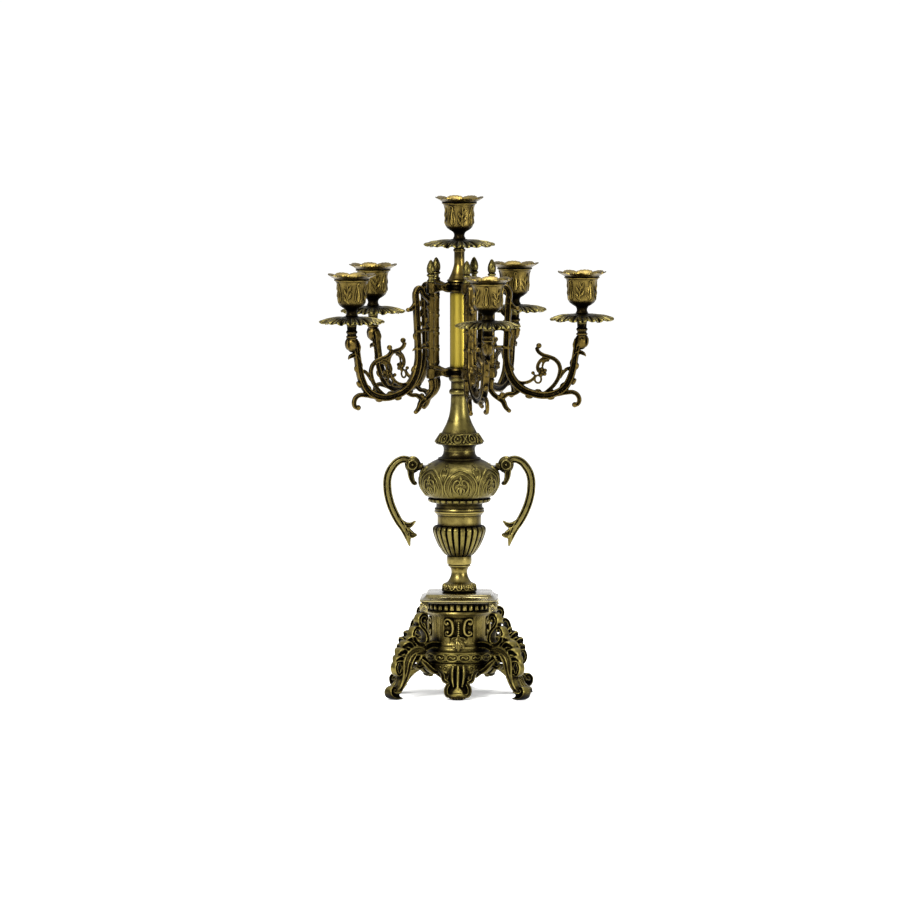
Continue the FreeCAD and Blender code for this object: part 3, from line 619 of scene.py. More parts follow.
ring = spun(bmesh.new(), [
    [(27.5, 1), (34.4, 1)], [(34.4, 1), (35.2, 2.6), (35.9, 3.4)],
    [(35.9, 3.4), (36.9, 4.6), (37.1, 5.6)],
    [(37.1, 5.6), (36.3, 6.0), (36.2, 12.6), (36.8, 13.2)],
    [(36.8, 13.2), (36.6, 14.6), (35.2, 15.4)], [(35.2, 15.4), (33.8, 16.4), (33.0, RING_TALL)],
    [(33.0, RING_TALL), (27.5, RING_TALL)], [(27.5, RING_TALL), (27.5, 1)]], 192, up=RING_LOW)
apron = spun(bmesh.new(), [
    [(31.6, LOWEST), (34.6, LOWEST)],
    [(34.6, LOWEST), (34.8, LOWEST + 5), (34.8, LOWEST + 10), (34.8, RING_LOW + 5)],
    [(34.8, RING_LOW + 5), (31.6, RING_LOW + 5)],
    [(31.6, RING_LOW + 5), (31.6, LOWEST + 10), (31.6, LOWEST + 5), (31.6, LOWEST)]], 192)
add(ring, carved(apron, hang))
for count in range(PANELS):
    unit = bmesh.new()
    up = RING_LOW + 9.3
    scroll(unit, [(-5.2, -1.6), (-4.4, -2.6), (4.4, -2.6), (5.2, -1.6), (5.2, 1.6), (4.4, 2.6),
                  (-4.4, 2.6), (-5.2, 1.6)], 0.65, cyclic=True, smooth=3, up=up)
    scroll(unit, [(-3.6, -0.9), (-1.8, 0.9), (0, -0.2), (1.8, -0.9), (3.4, 0.8)],
           [0.5, 0.85, 0.8, 0.85, 0.5], up=up)
    brick(unit, (6.34, 0, up), (0.8, 1.2, 6.2), 0.2)
    add(ring, wrapped(unit, lambda z: 36.3, 36.3, BASE_TURN + 360 / PANELS * (count + 0.5)))
for azimuth in FACES:
    unit = bmesh.new()
    for side in (-1, 1):
        scroll(unit, [(12.0, 26.0), (10.8, 28.6), (13.0, 30.6), (15.8, 28.8), (15.0, 25.6),
                      (11.6, 24.0)], [1.0, 1.2, 1.3, 1.3, 1.2, 0.8], side=side)
        ball(unit, (side * 13.2, -0.7, 27.8), 1.5)
        scroll(unit, [(18, 23.6), (21.6, 26.8), (27, 29.4)], [1.2, 3.1, 0.9], GROOVED, 0.9,
               side=side)
        ball(unit, (side * 18.4, -0.4, 29.4), 1.5)
        scroll(unit, [(8, 1.8), (13, 1.3), (18, 1.5), (23, 3.6), (27, 7.4)], 1.5, up=LOWEST,
               side=side)
    add(ring, wrapped(unit, lambda z: 35.6, 35.6, azimuth))
finished(ring, "ring_and_apron", leg_brass, STAND, "foot_ring")

# %% [markdown]
# ### Screws inside the ring
#
# Every leg and foot is drawn up to the ring by one screw, whose head shows only from below.

# %% Leg screws
SCREW_UP = sum(low_high("leg_screws")) / 2
SCREW_OUT = 24.6    # where a screw's head starts, inside the ring
fixings = bmesh.new()
for name in [f"{kind}_{count}" for kind in ("corner_leg", "centre_foot") for count in range(1, 5)]:
    screw = spun(bmesh.new(), [
        [(0.0, 0.6), (1.4, 0.6)], [(1.4, 0.6), (1.6, 0.0)], [(1.6, 0.0), (2.6, 0.0), (3.0, 0.5)],
        [(3.0, 0.5), (3.0, 3.0)], [(3.0, 3.0), (1.6, 3.0)], [(1.6, 3.0), (1.6, 9.5)],
        [(1.6, 9.5), (0.0, 9.5)]], 24)
    bmesh.ops.rotate(screw, cent=(0, 0, 0), matrix=Matrix.Rotation(math.pi / 2, 3, "Y"),
                     verts=screw.verts)
    add(fixings, turned_to(screw, azimuth_of(name), SCREW_OUT, SCREW_UP))
finished(fixings, "leg_fixings", steel, STAND, "leg_screws")

# %% [markdown]
# ### Legs and feet
#
# Each leg is drawn as scrolls in its own upright plane, melted into one casting and copied to
# its place. Swept scrolls alone would look like bent wire where they cross; the melt gives them
# fillets.

# %% Corner leg
VOXEL = 0.55
SHAFT_THICK = 3.7   # half the thickness to which the shaft's faces are cut flat


def flat_on_floor(bm):
    """Presses what would go through the floor flat onto it."""
    for vert in bm.verts:
        vert.co.z = max(vert.co.z, 0.0)
    return bm


def at_sides(bm, make, offset):
    """Puts the same relief on both faces of a flat casting."""
    for side in (-1, 1):
        part = make()
        bmesh.ops.translate(part, vec=(0, side * offset, 0), verts=part.verts)
        add(bm, part)
    return bm


def tilted_ball(bm, spot, radius, squash, lean):
    """A squashed knob, leaning in the plane y = 0."""
    tip = bmesh.new()
    ball(tip, (0, 0, 0), radius, squash)
    bmesh.ops.rotate(tip, verts=tip.verts, matrix=Matrix.Rotation(-math.radians(lean), 3, "Y"))
    bmesh.ops.translate(tip, vec=spot, verts=tip.verts)
    return add(bm, tip)


def leg_relief():
    """Raised lines that run down the shaft and round the leaves."""
    part = bmesh.new()
    scroll(part, [(52, 49), (62, 51), (72, 48), (79, 40), (80, 31), (80.4, 22), (84, 13), (89, 9)],
           [1.0, 1.4, 1.5, 1.5, 1.4, 1.3, 1.3, 1.0])
    scroll(part, [(64, 42), (69, 35), (72, 26), (77, 16), (84, 8)], [1.0, 1.3, 1.4, 1.3, 1.0])
    scroll(part, [(58, 46), (67, 44), (73, 37), (76, 27), (80, 17)], [0.8, 1.2, 1.3, 1.2, 0.8])
    scroll(part, [(50, 44), (56, 41), (61, 35)], [0.8, 1.6, 0.8])
    return part


def corner_leg():
    """A corner leg in the plane y = 0, with the column's axis at 0 and the floor at 0."""
    leg = bmesh.new()
    # the thin S-shaped bracket that meets the block under the plate
    scroll(leg, [(50.4, 75.2), (46.4, 78.4), (48.6, 82.2), (54.8, 82.0), (57.4, 77.4),
                 (54.6, 71.6), (49.8, 66.8), (46.8, 61.8), (46.8, 56.4), (50.4, 52.4)],
           [1.5, 1.9, 2.1, 2.3, 2.3, 2.2, 2.3, 2.5, 2.7, 2.7], GROOVED, 1.9)
    ball(leg, (50.8, 0, 76.8), 2.6, (1, 1.9, 1))
    # the hook outside it, which leaves a round opening between the two
    scroll(leg, [(50, 53.6), (56, 53.0), (62, 55.6), (65.8, 61), (64.8, 67.2), (60.2, 70.4),
                 (56.4, 68.2)], [2.4, 2.6, 2.7, 2.6, 2.3, 2.0, 1.7], GROOVED, 2.0)
    ball(leg, (57.4, 0, 67.4), 2.1, (1, 1.9, 1))
    # leaf over the ring's shoulder, the shaft, and the root under the ring
    scroll(leg, [(27, 49), (36, 51.6), (45, 51.6), (52, 49.6)], [4.4, 4.0, 4.0, 4.4], GROOVED, 1.7)
    shaft = scroll(bmesh.new(), [(47, 48), (57, 48.6), (66, 46), (73, 38.4), (75.4, 28.6),
                                 (78, 18.4), (83, 10.6), (89, 6.4)],
                   [4.4, 5.6, 6.6, 6.6, 5.6, 4.8, 4.5, 4.6])
    for vert in shaft.verts:
        vert.co.y = max(-SHAFT_THICK, min(SHAFT_THICK, vert.co.y))
    add(leg, shaft)
    scroll(leg, [(29, 31), (39, 30), (47, 33.6), (55, 39.6), (64, 40)], [2.8, 3.0, 3.4, 4.2, 4.6],
           GROOVED, 1.3)
    for side in (-1, 1):
        wing = bmesh.new()
        scroll(wing, [(33.5, 26.4), (38.4, 24.6), (44.0, 26.8), (50.0, 32.4), (56, 38)],
               [1.5, 2.3, 2.6, 2.5, 1.8], GROOVED, 1.3)
        for vert in wing.verts:
            vert.co.y += side * (8.6 - 0.3 * (vert.co.x - 34))
        add(leg, wing)
    scroll(leg, [(48, 36), (53, 31), (58.6, 30.4), (60.4, 34)], [1.6, 2.2, 2.0, 1.0], GROOVED, 1.6)
    # toe
    scroll(leg, [(85, 5), (90.6, 4.4), (95.0, 6.4), (95.2, 10.4), (91.6, 12.2), (89.2, 10.6)],
           [4.6, 4.2, 3.2, 2.6, 2.0, 1.6], GROOVED, 2.0)
    ball(leg, (91.4, 0, 9.8), 2.0, (1, 2.4, 1))
    at_sides(leg, leg_relief, SHAFT_THICK + 0.3)
    # grooved leaves down the outer edge and the oval loop under them
    for points, widths in (([(60, 54), (67, 59.6), (72.6, 58.2)], [2.6, 3.8, 0.8]),
                           ([(66, 50), (74.4, 54.4), (80.2, 51.0)], [2.8, 4.2, 0.8]),
                           ([(72, 44), (81.4, 47.6), (86.8, 43.0)], [2.8, 4.2, 0.8]),
                           ([(76, 38), (85.0, 41.0), (90.0, 36.4)], [2.4, 3.6, 0.8])):
        scroll(leg, points, widths, GROOVED, 1.7)
    scroll(leg, [(84.6, 38.0), (88.6, 34.6), (88.6, 28.4), (84.8, 25.0), (81.4, 28.6),
                 (81.2, 34.4)],
           [1.9, 2.0, 2.0, 1.9, 1.7, 1.7], GROOVED, 2.2, cyclic=True)
    return cast(flat_on_floor(leg), VOXEL)


leg_casting = corner_leg()
for count in range(1, 5):
    name = f"corner_leg_{count}"
    finished(turned_to(leg_casting.copy(), azimuth_of(name)), f"leg_{count}", leg_brass, STAND,
             name, crease=180)
leg_casting.free()


# %% [markdown]
# ### Centre feet
#
# Under the middle of each side a short tongue curves down and outwards to the floor. Its ribs,
# side scrolls and toes are drawn flat, facing out, and then bent back along the tongue, because
# on the real foot they follow its curve.

# %% Centre foot
HANG = 34           # the height at which the front ornament starts to lean out


def centre_foot():
    """A centre foot in the plane y = 0, with the column's axis at 0 and the floor at 0."""
    foot = bmesh.new()
    # the tongue that hangs from under the ring, in the upright plane through the axis
    scroll(foot, [(33, 27), (38, 27), (44.5, 24), (50.5, 18.6), (55.5, 11.8), (61, 6.2),
                  (68, 4.2)], [3.2, 3.4, 3.6, 3.6, 3.6, 3.8, 4.0], ROUND, 1.9)
    ball(foot, (68.4, 0, 3.6), 4.6, (1.1, 2.0, 0.85), 3)
    # side scrolls, three ribs and a fan of toes, drawn facing out and bent back onto the tongue
    front = bmesh.new()
    for side in (-1, 1):
        scroll(front, [(20.0, 27), (17.4, 26.0), (15.2, 22.6), (14.2, 18.6), (9.4, 16.6)],
               [1.5, 2.1, 2.4, 2.2, 1.5], GROOVED, 2.0, side=side)
        ball(front, (side * 11.2, 0.4, 20.4), 2.2)
        scroll(front, [(8.6, 16.0), (11.0, 12.8), (12.0, 8.4), (10.0, 4.4), (7.0, 5.2)],
               [1.5, 1.9, 2.1, 2.0, 1.3], GROOVED, 2.0, side=side)
        scroll(front, [(5.2, 33), (5.9, 27), (5.6, 20), (4.2, 12.6)], [1.5, 2.0, 1.9, 0.9], ROUND,
               1.9, side=side)
        for reach in (3.0, 6.2):
            scroll(front, [(0.75, 12.5), (reach * 0.7, 7.6), (reach, 1.6)], [0.7, 1.4, 1.6], ROUND,
                   1.7, side=side)
        brick(front, (side * 4.8, 4.6, 15), (9.8, 5.4, 24), 1.0)
    scroll(front, [(0, 33), (0, 26), (0, 18), (0, 11)], [1.8, 2.2, 2.1, 1.0], ROUND, 1.9)
    scroll(front, [(0, 12), (0, 7), (0, 1.6)], [0.7, 1.4, 1.6], ROUND, 1.7)
    for vert in front.verts:
        share = max(0.0, min(1.0, (HANG - vert.co.z) / HANG))
        across, deep = vert.co.x, vert.co.y
        vert.co.x, vert.co.y = 44 + 28.5 * share ** 0.85 - deep - 0.03 * across ** 2, across
    add(foot, front)
    return cast(flat_on_floor(foot), VOXEL)


foot_casting = centre_foot()
for count in range(1, 5):
    name = f"centre_foot_{count}"
    finished(turned_to(foot_casting.copy(), azimuth_of(name)), f"foot_{count}", leg_brass,
             STAND, name, crease=180)
foot_casting.free()

# %% [markdown]
# ## The column
#
# Stem, fluted cup, waist band, urn and bell are stacked on the tie rod. Each is spun from its
# half outline. Flutes and beads are moved out of or into the skin; lines of ornament are laid
# onto it.

# %% Stem
LOW, TALL = low_tall("stem_baluster")
LEAVES = 14
stem = spun(bmesh.new(), [
    [(BORE, 0), (15.6, 0)], [(15.6, 0), (17.2, 0.9), (17.5, 2.4), (16.4, 3.8)],
    [(16.4, 3.8), (16.8, 4.8), (15.9, 7.6), (14.2, 9.2)],
    [(14.2, 9.2), (12.0, 10.4), (9.9, 13.4), (8.6, 16.6), (8.1, 19.8), (8.5, 22.8), (9.8, 25.4)],
    [(9.8, 25.4), (11.3, 26.0), (11.3, 27.2), (10.4, 27.9)], [(10.4, 27.9), (12.3, 28.4)],
    [(12.3, 28.4), (12.5, TALL - 4), (12.3, TALL - 0.5)], [(12.3, TALL - 0.5), (11.8, TALL)],
    [(11.8, TALL), (BORE, TALL)], [(BORE, TALL), (BORE, 0)]], up=LOW)
leaf_wall = surface_of([(17.5, 2.4), (16.6, 5.0), (15.9, 7.6), (14.0, 9.4)], LOW)
for count in range(LEAVES):
    unit = bmesh.new()
    scroll(unit, [(-2.5, 9.0), (-2.2, 5.0), (0, 3.0), (2.2, 5.0), (2.5, 9.0)], 0.62, up=LOW)
    ball(unit, (0, 0, LOW + 6.2), 1.7, (0.75, 0.8, 1.5))
    add(stem, wrapped(unit, leaf_wall, 16.2, 360 / LEAVES * count))
finished(stem, "stem", turned_brass, STAND, "stem_baluster")

# %% [markdown]
# ### Fluted cup and waist
#
# The flutes are narrow dark grooves between flat ribs. They are pressed into the spun skin by
# angle, which keeps their edges even all round and rounds them over at the rim.

# %% Fluted cup
FLUTES = 24
LOW, TALL = low_tall("fluted_cup")


def fluted(angle, radius, height):
    """Flat ribs with narrow dark grooves between them, rounded over at the top."""
    if radius < 11:
        return radius, height
    away = abs((angle / math.tau * FLUTES) % 1 - 0.5)
    groove = max(0.0, (away - 0.33) / 0.17)
    crown = 1 - (away / 0.5) ** 2
    rise = (height - LOW) / TALL
    shoulder = max(0.0, (rise - 0.82) / 0.18)
    return radius - 2.1 * groove ** 0.7 + 0.35 * crown, height - 1.6 * groove * shoulder


flutes = spun(bmesh.new(), [
    [(BORE, 0), (11.4, 0)], [(11.4, 0), (12.6, 0.4)],
    [(12.6, 0.4), (15.4, 2.6), (18.0, 6), (20.6, 10), (22.6, 14), (24.3, 18), (25.8, 22.4),
     (26.5, 26), (26.0, 28.4), (24.4, TALL - 0.4)], [(24.4, TALL - 0.4), (22.2, TALL - 0.2)],
    [(22.2, TALL - 0.2), (BORE, TALL - 0.2)],
    [(BORE, TALL - 0.2), (BORE, 0)]], FLUTES * 14, up=LOW)
finished(carved(flutes, fluted), "flutes", cast_brass, STAND, "fluted_cup", crease=60)

# %% Waist band
LOW, TALL = low_tall("waist_band")
waist = spun(bmesh.new(), [
    [(BORE, 0), (21.6, 0)], [(21.6, 0), (21.9, 0.6), (21.9, 10.4)],
    [(21.9, 10.4), (23.2, 11.2), (23.6, 12.4)],
    [(23.6, 12.4), (25.0, 13.2), (25.1, 14.4), (24.4, 15.4)],
    [(24.4, 15.4), (24.9, 16.2), (24.6, 17.4), (23.2, 18.0)], [(23.2, 18.0), (23.0, TALL - 1.2)],
    [(23.0, TALL - 1.2), (24.2, TALL)], [(24.2, TALL), (BORE, TALL)],
    [(BORE, TALL), (BORE, 0)]], up=LOW)
finished(waist, "waist", turned_brass, STAND, "waist_band")

# %% [markdown]
# ### Urn
#
# The belly carries seven arches in low relief, each with a pair of scrolls and a leaf in it and
# a spray between it and the next. One unit is drawn flat with swept lines and wrapped onto the
# belly.

# %% Urn with its arches
LOW, TALL = low_tall("urn_body")
BELLY = 39.9        # the belly's largest radius
ARCHES = 7
BETWEEN = 17.95     # half the way to the next arch, along the belly


def petals(angle, radius, height):
    """A ring of small petals round the urn's foot."""
    if height > LOW + 4.6 or radius < 25:
        return radius, height
    wave = abs(math.sin(angle * 14))
    return radius - 1.3 * (1 - wave) ** 2, height


belly = [(30.2, 5.0), (33.4, 7.0), (35.9, 10), (38.2, 14), (39.5, 18), (BELLY, 22), (BELLY, 26),
         (39.3, 29.6), (37.6, 32.6), (34.6, 35.8), (31.0, 38.4), (26.4, 41.2), (21.6, 43.4)]
urn = spun(bmesh.new(), [
    [(BORE, 0), (25.6, 0)], [(25.6, 0), (29.2, 0.5), (31.3, 2.0), (31.6, 3.6), (30.2, 5.0)], belly,
    [(21.6, 43.4), (21.5, 44.6), (20.4, 45.2), (19.2, 45.1)],
    [(19.2, 45.1), (17.6, 46.6), (16.2, 48.8), (15.7, TALL)], [(15.7, TALL), (BORE, TALL)],
    [(BORE, TALL), (BORE, 0)]], 224, up=LOW)
carved(urn, petals)
belly_wall = surface_of(belly, LOW)
for count in range(ARCHES):
    unit = bmesh.new()
    scroll(unit, [(-14.6, 7.4), (-16.8, 18), (-13.0, 28), (-5.0, 34), (0, 35.4), (5.0, 34),
                  (13.0, 28), (16.8, 18), (14.6, 7.4)], 0.95, up=LOW)
    scroll(unit, [(-11.2, 9), (-12.4, 18), (-9.4, 25.4), (-3.6, 30.4), (0, 31.4), (3.6, 30.4),
                  (9.4, 25.4), (12.4, 18), (11.2, 9)], 0.6, up=LOW)
    for side in (-1, 1):
        scroll(unit, [(1.0, 9.6), (5.8, 12.6), (7.8, 18.4), (5.4, 24.0), (1.8, 24.6), (1.6, 21.2),
                      (4.2, 20.4)], [0.6, 1.1, 1.25, 1.2, 1.0, 0.9, 0.8], up=LOW, side=side)
        scroll(unit, [(1.2, 17.6), (3.8, 14.6), (2.2, 11.4)], [0.6, 1.2, 0.6], up=LOW, side=side)
        scroll(unit, [(9.4, 8), (10.6, 15), (8.8, 21)], [0.6, 1.0, 0.5], up=LOW, side=side)
        for line, widths in (([(0.7, 24), (2.8, 29.4), (3.9, 34.4), (1.8, 36.6), (0.8, 33.8)],
                              [0.5, 0.9, 1.0, 0.9, 0.6]),
                             ([(0.4, 9), (1.4, 14), (0.4, 20)], [0.4, 0.8, 0.4])):
            scroll(unit, [(BETWEEN + side * across, height) for across, height in line], widths,
                   up=LOW)
    scroll(unit, [(0, 30), (0, 27), (0, 23)], [0.4, 1.9, 0.4], ROUND, 0.7, up=LOW)
    ball(unit, (0, -0.1, LOW + 20.6), 1.4)
    ball(unit, (BETWEEN, 0, LOW + 39.0), 1.3)
    scroll(unit, [(0, 19), (0, 14.6), (0, 9)], [0.5, 1.8, 0.5], ROUND, 0.7, up=LOW)
    add(urn, wrapped(unit, belly_wall, BELLY, 360 / ARCHES * count + 2))
finished(urn, "urn", cast_brass, STAND, "urn_body")

# %% [markdown]
# ### Bell
#
# The bell rises in one long hollow curve from a flange. Rings with a knob and pairs of crossed
# bars stand on the flange's slope, which is spun first so that they have a surface to lie on.

# %% Bell with a band of rings and crosses
LOW, TALL = low_tall("bell_cone")
RINGS = 9
slope = [(23.8, 9.0), (22.2, 11.4), (20.4, 14.2), (18.9, 16.4), (18.2, 17.6)]
bell = spun(bmesh.new(), [
    [(BORE, 0), (15.7, 0)], [(15.7, 0), (15.7, 2.5), (16.6, 4.6), (17.8, 6.2)],
    [(17.8, 6.2), (22.2, 6.6)], [(22.2, 6.6), (23.8, 7.4), (23.8, 9.0)], slope,
    [(18.2, 17.6), (17.5, 18.0), (17.2, 18.9)],
    [(17.2, 18.9), (15.4, 22.5), (13.3, 26.5), (11.7, 30.5), (10.3, 35), (9.3, 41), (8.7, 48),
     (8.4, 56)], [(8.4, 56), (9.8, 57.2), (10.2, 59), (9.8, 60.8), (8.4, 62)],
    [(8.4, 62), (8.3, 69)], [(8.3, 69), (9.8, 70.2), (10.6, 72), (10.6, TALL)],
    [(10.6, TALL), (BORE, TALL)], [(BORE, TALL), (BORE, 0)]], up=LOW)
slope_wall = surface_of(slope, LOW)
for count in range(RINGS):
    unit = bmesh.new()
    mid = LOW + 13.2
    ring_line = [(3.3 * math.cos(turn * math.tau / 8), 3.7 * math.sin(turn * math.tau / 8))
                 for turn in range(8)]
    scroll(unit, ring_line, 0.95, ROUND, 1.5, smooth=3, cyclic=True, up=mid)
    ball(unit, (0, 0, mid), 1.2)
    for lean in (-1, 1):
        scroll(unit, [(7.4 - 2.5 * lean, -4.0), (7.4, 0), (7.4 + 2.5 * lean, 4.0)], 1.0, ROUND,
               1.5, up=mid)
    add(bell, wrapped(unit, slope_wall, 21.2, 360 / RINGS * count - 4))
finished(bell, "bell", cast_brass, STAND, "bell_cone")

# %% [markdown]
# ### Hubs, tube and neck
#
# Between the two hubs runs the one plain part, a drawn brass tube. Each hub has five lugs that
# hold the pins on which the arms swing.

# %% Hubs
PIN_OUT = math.hypot(*middle("finial_a"))  # from the column's axis to an arm's pin
ARMS = "abcde"
AZIMUTHS = {tag: azimuth_of(f"finial_{tag}") for tag in ARMS}
print("arms at", {tag: round(azimuth, 1) for tag, azimuth in AZIMUTHS.items()})


def hub(name, node_name):
    """A collar with a lug for each arm's pin."""
    low, tall = low_tall(node_name)
    core = spun(bmesh.new(), [
        [(BORE, 0), (10.2, 0)], [(10.2, 0), (11.8, 0.8), (12.2, 2.4), (11.2, 3.8)],
        [(11.2, 3.8), (10.4, 4.4), (10.4, tall - 4.4), (11.2, tall - 3.8)],
        [(11.2, tall - 3.8), (12.2, tall - 2.4), (11.8, tall - 0.8), (10.2, tall)],
        [(10.2, tall), (BORE, tall)], [(BORE, tall), (BORE, 0)]], 96, up=low)
    mid = low + tall / 2
    for azimuth in AZIMUTHS.values():
        lug = bmesh.new()
        for side in (-1, 1):
            rise = side * tall / 2
            scroll(lug, [(9, rise * 0.62), (14, rise * 0.66), (20, rise * 0.34), (26, rise * 0.56),
                         (PIN_OUT - 2, rise * 0.72)], [1.6, 1.5, 1.4, 1.5, 1.8], ROUND, 1.5,
                   up=mid)
        brick(lug, (20, 0, mid), (22, 2.6, tall * 0.5), 0.4)
        ball(lug, (20, 0, mid), 2.6, (1.1, 1.1, 1.1))
        eye = spun(bmesh.new(), [
            [(2.25, 0), (3.9, 0)],
            [(3.9, 0), (4.7, 1), (4.4, tall / 2), (4.7, tall - 1), (3.9, tall)],
            [(3.9, tall), (2.25, tall)], [(2.25, tall), (2.25, 0)]], 40, up=low)
        bmesh.ops.translate(eye, vec=(PIN_OUT, 0, 0), verts=eye.verts)
        add(lug, eye)
        add(core, turned_to(lug, azimuth))
    finished(core, name, dark_brass, STAND, node_name)


hub("hub_low", "lower_hub")
hub("hub_high", "upper_hub")

# %% Tube and trumpet neck
LOW, TALL = low_tall("column_tube")
tube = spun(bmesh.new(), [
    [(7.9, 0), (9.0, 0)], [(9.0, 0), (9.4, 0.5)], [(9.4, 0.5), (9.4, TALL - 0.5)],
    [(9.4, TALL - 0.5), (9.0, TALL)], [(9.0, TALL), (7.9, TALL)],
    [(7.9, TALL), (7.9, 0)]], 96, up=LOW)
finished(tube, "plain_tube", tube_brass, STAND, "column_tube")

LOW, TALL = low_tall("trumpet_neck")
neck = spun(bmesh.new(), [
    [(BORE, 0), (11.6, 0)], [(11.6, 0), (12.5, 0.6), (12.2, 1.6), (11.0, 2.2)],
    [(11.0, 2.2), (9.2, 5.6), (7.4, 9.8), (6.1, 14), (5.3, 18), (5.2, TALL - 3)],
    [(5.2, TALL - 3), (6.0, TALL - 2), (6.0, TALL)], [(6.0, TALL), (BORE, TALL)],
    [(BORE, TALL), (BORE, 0)]], 96, up=LOW)
finished(neck, "trumpet", cup_brass, STAND, "trumpet_neck")


# %% [markdown]
# ### Finials
#
# A small pine cone closes each pin. Its scales are two sets of spirals that cross, so they are
# a simple function of angle and height, moved out of the spun skin.

# %% Pine-cone finials
def cone_scales(angle, radius, height):
    """Crossing spirals, as on a pine cone."""
    if height < 9 or height > 22:
        return radius, height
    cross = math.sin(5 * angle + height * 0.9) * math.sin(5 * angle - height * 0.9)
    return radius + 0.55 * abs(cross) - 0.2, height


cone = spun(bmesh.new(), [
    [(2.2, 0.1), (3.6, 0.1)],
    [(3.6, 0.1), (4.0, 1.0), (3.8, 2.2), (2.7, 3.2), (2.5, 4.8), (3.6, 6.2)],
    [(3.6, 6.2), (4.3, 6.9), (4.2, 7.9), (3.0, 8.6)],
    [(3.0, 8.6), (3.8, 10.6), (4.1, 13.0), (3.7, 16.2), (2.6, 19.2), (1.1, 22.0), (0.0, 23.0)],
    [(0.0, 23.0), (0.0, 14.0)], [(0.0, 14.0), (2.2, 14.0)], [(2.2, 14.0), (2.2, 0.1)]], 60)
carved(cone, cone_scales)
for tag, azimuth in AZIMUTHS.items():
    name = f"finial_{tag}"
    finished(turned_to(cone.copy(), azimuth, PIN_OUT, low_high(name)[0]), f"pine_cone_{tag}",
             cast_brass, STAND, name, crease=60)
cone.free()

# %% [markdown]
# ## Handles
#
# A bird's head holds on to the urn; its neck is the grooved bow, and its tail ends in three
# leaves. The bow is swept with a section that has a raised middle between two grooves, and the
# head, eye rings and beak are melted onto it. The left handle is the right one turned half
# round.

# %% Handle
HANDLE_MID = low_high("urn_body")[0] + 23.5
EYE_OUT, EYE_UP = 46.6, 14.4    # the eye's centre, from the axis and over HANDLE_MID


def handle():
    """A handle in the plane y = 0. Heights are counted from the middle of the urn's belly."""
    base = HANDLE_MID
    bird = bmesh.new()
    scroll(bird, [(46, 15.0), (53.2, 19.6), (60.2, 18.4), (67.2, 11.6), (71.3, 2.6), (72.0, -8),
                  (70.2, -20), (66.0, -32), (60.8, -42), (55.6, -50), (51.8, -58),
                  (49.6, -67.4)],
           [4.0, 3.6, 3.7, 4.0, 4.1, 4.2, 4.2, 4.2, 4.1, 3.7, 3.2, 0.9], BANDED, 0.95, up=base)
    scroll(bird, [(61.6, -40), (56.6, -44.6), (50.2, -46.6), (43.6, -42.2)], [2.8, 3.1, 3.0, 0.8],
           GROOVED, 1.0, up=base)
    scroll(bird, [(57.0, -47), (52.4, -52), (47.6, -56), (42.2, -56.2)], [2.8, 3.8, 4.0, 1.0],
           GROOVED, 0.9, up=base)
    ball(bird, (EYE_OUT, 0, base + EYE_UP), 7.6, (1.06, 0.58, 1.14), 3)
    scroll(bird, [(36.2, 12.2), (40.0, 12.2), (44.5, 13.4)], [4.2, 3.5, 3.6], ROUND, 1.0, up=base)
    scroll(bird, [(48.4, 9.6), (48.3, 4.0), (46.9, -1.4), (44.4, -4.6), (42.6, -3.2)],
           [3.9, 3.2, 2.6, 2.0, 1.2], GROOVED, 1.0, up=base)
    for side in (-1, 1):
        eye = bmesh.new()
        circle = [(EYE_OUT + 4.4 * math.cos(turn * math.tau / 8),
                   EYE_UP + 4.4 * math.sin(turn * math.tau / 8)) for turn in range(8)]
        scroll(eye, circle, 1.1, ROUND, 1.5, cyclic=True, up=base)
        ball(eye, (EYE_OUT, 0, base + EYE_UP), 1.9, (1, 1.2, 1))
        bmesh.ops.translate(eye, vec=(0, side * 3.9, 0), verts=eye.verts)
        add(bird, eye)
    scroll(bird, [(50, 18.8), (53, 14.6), (52.4, 9.4)], [0.5, 0.9, 0.5], up=base)
    return cast(bird, VOXEL * 0.9)


bird = handle()
for side, azimuth in (("right", 90), ("left", 270)):
    finished(turned_to(bird.copy(), azimuth), f"bird_{side}", handle_brass, STAND,
             f"handle_{side}", crease=180)
bird.free()

# %% [markdown]
# ## Arms
#
# An arm is a flat casting of scrolls with a groove along each. All five come from one pattern,
# so one mesh is melted together and copied. It is drawn as seen from its side: the first number
# of a point is its distance from the column's axis, the second its height above the table.

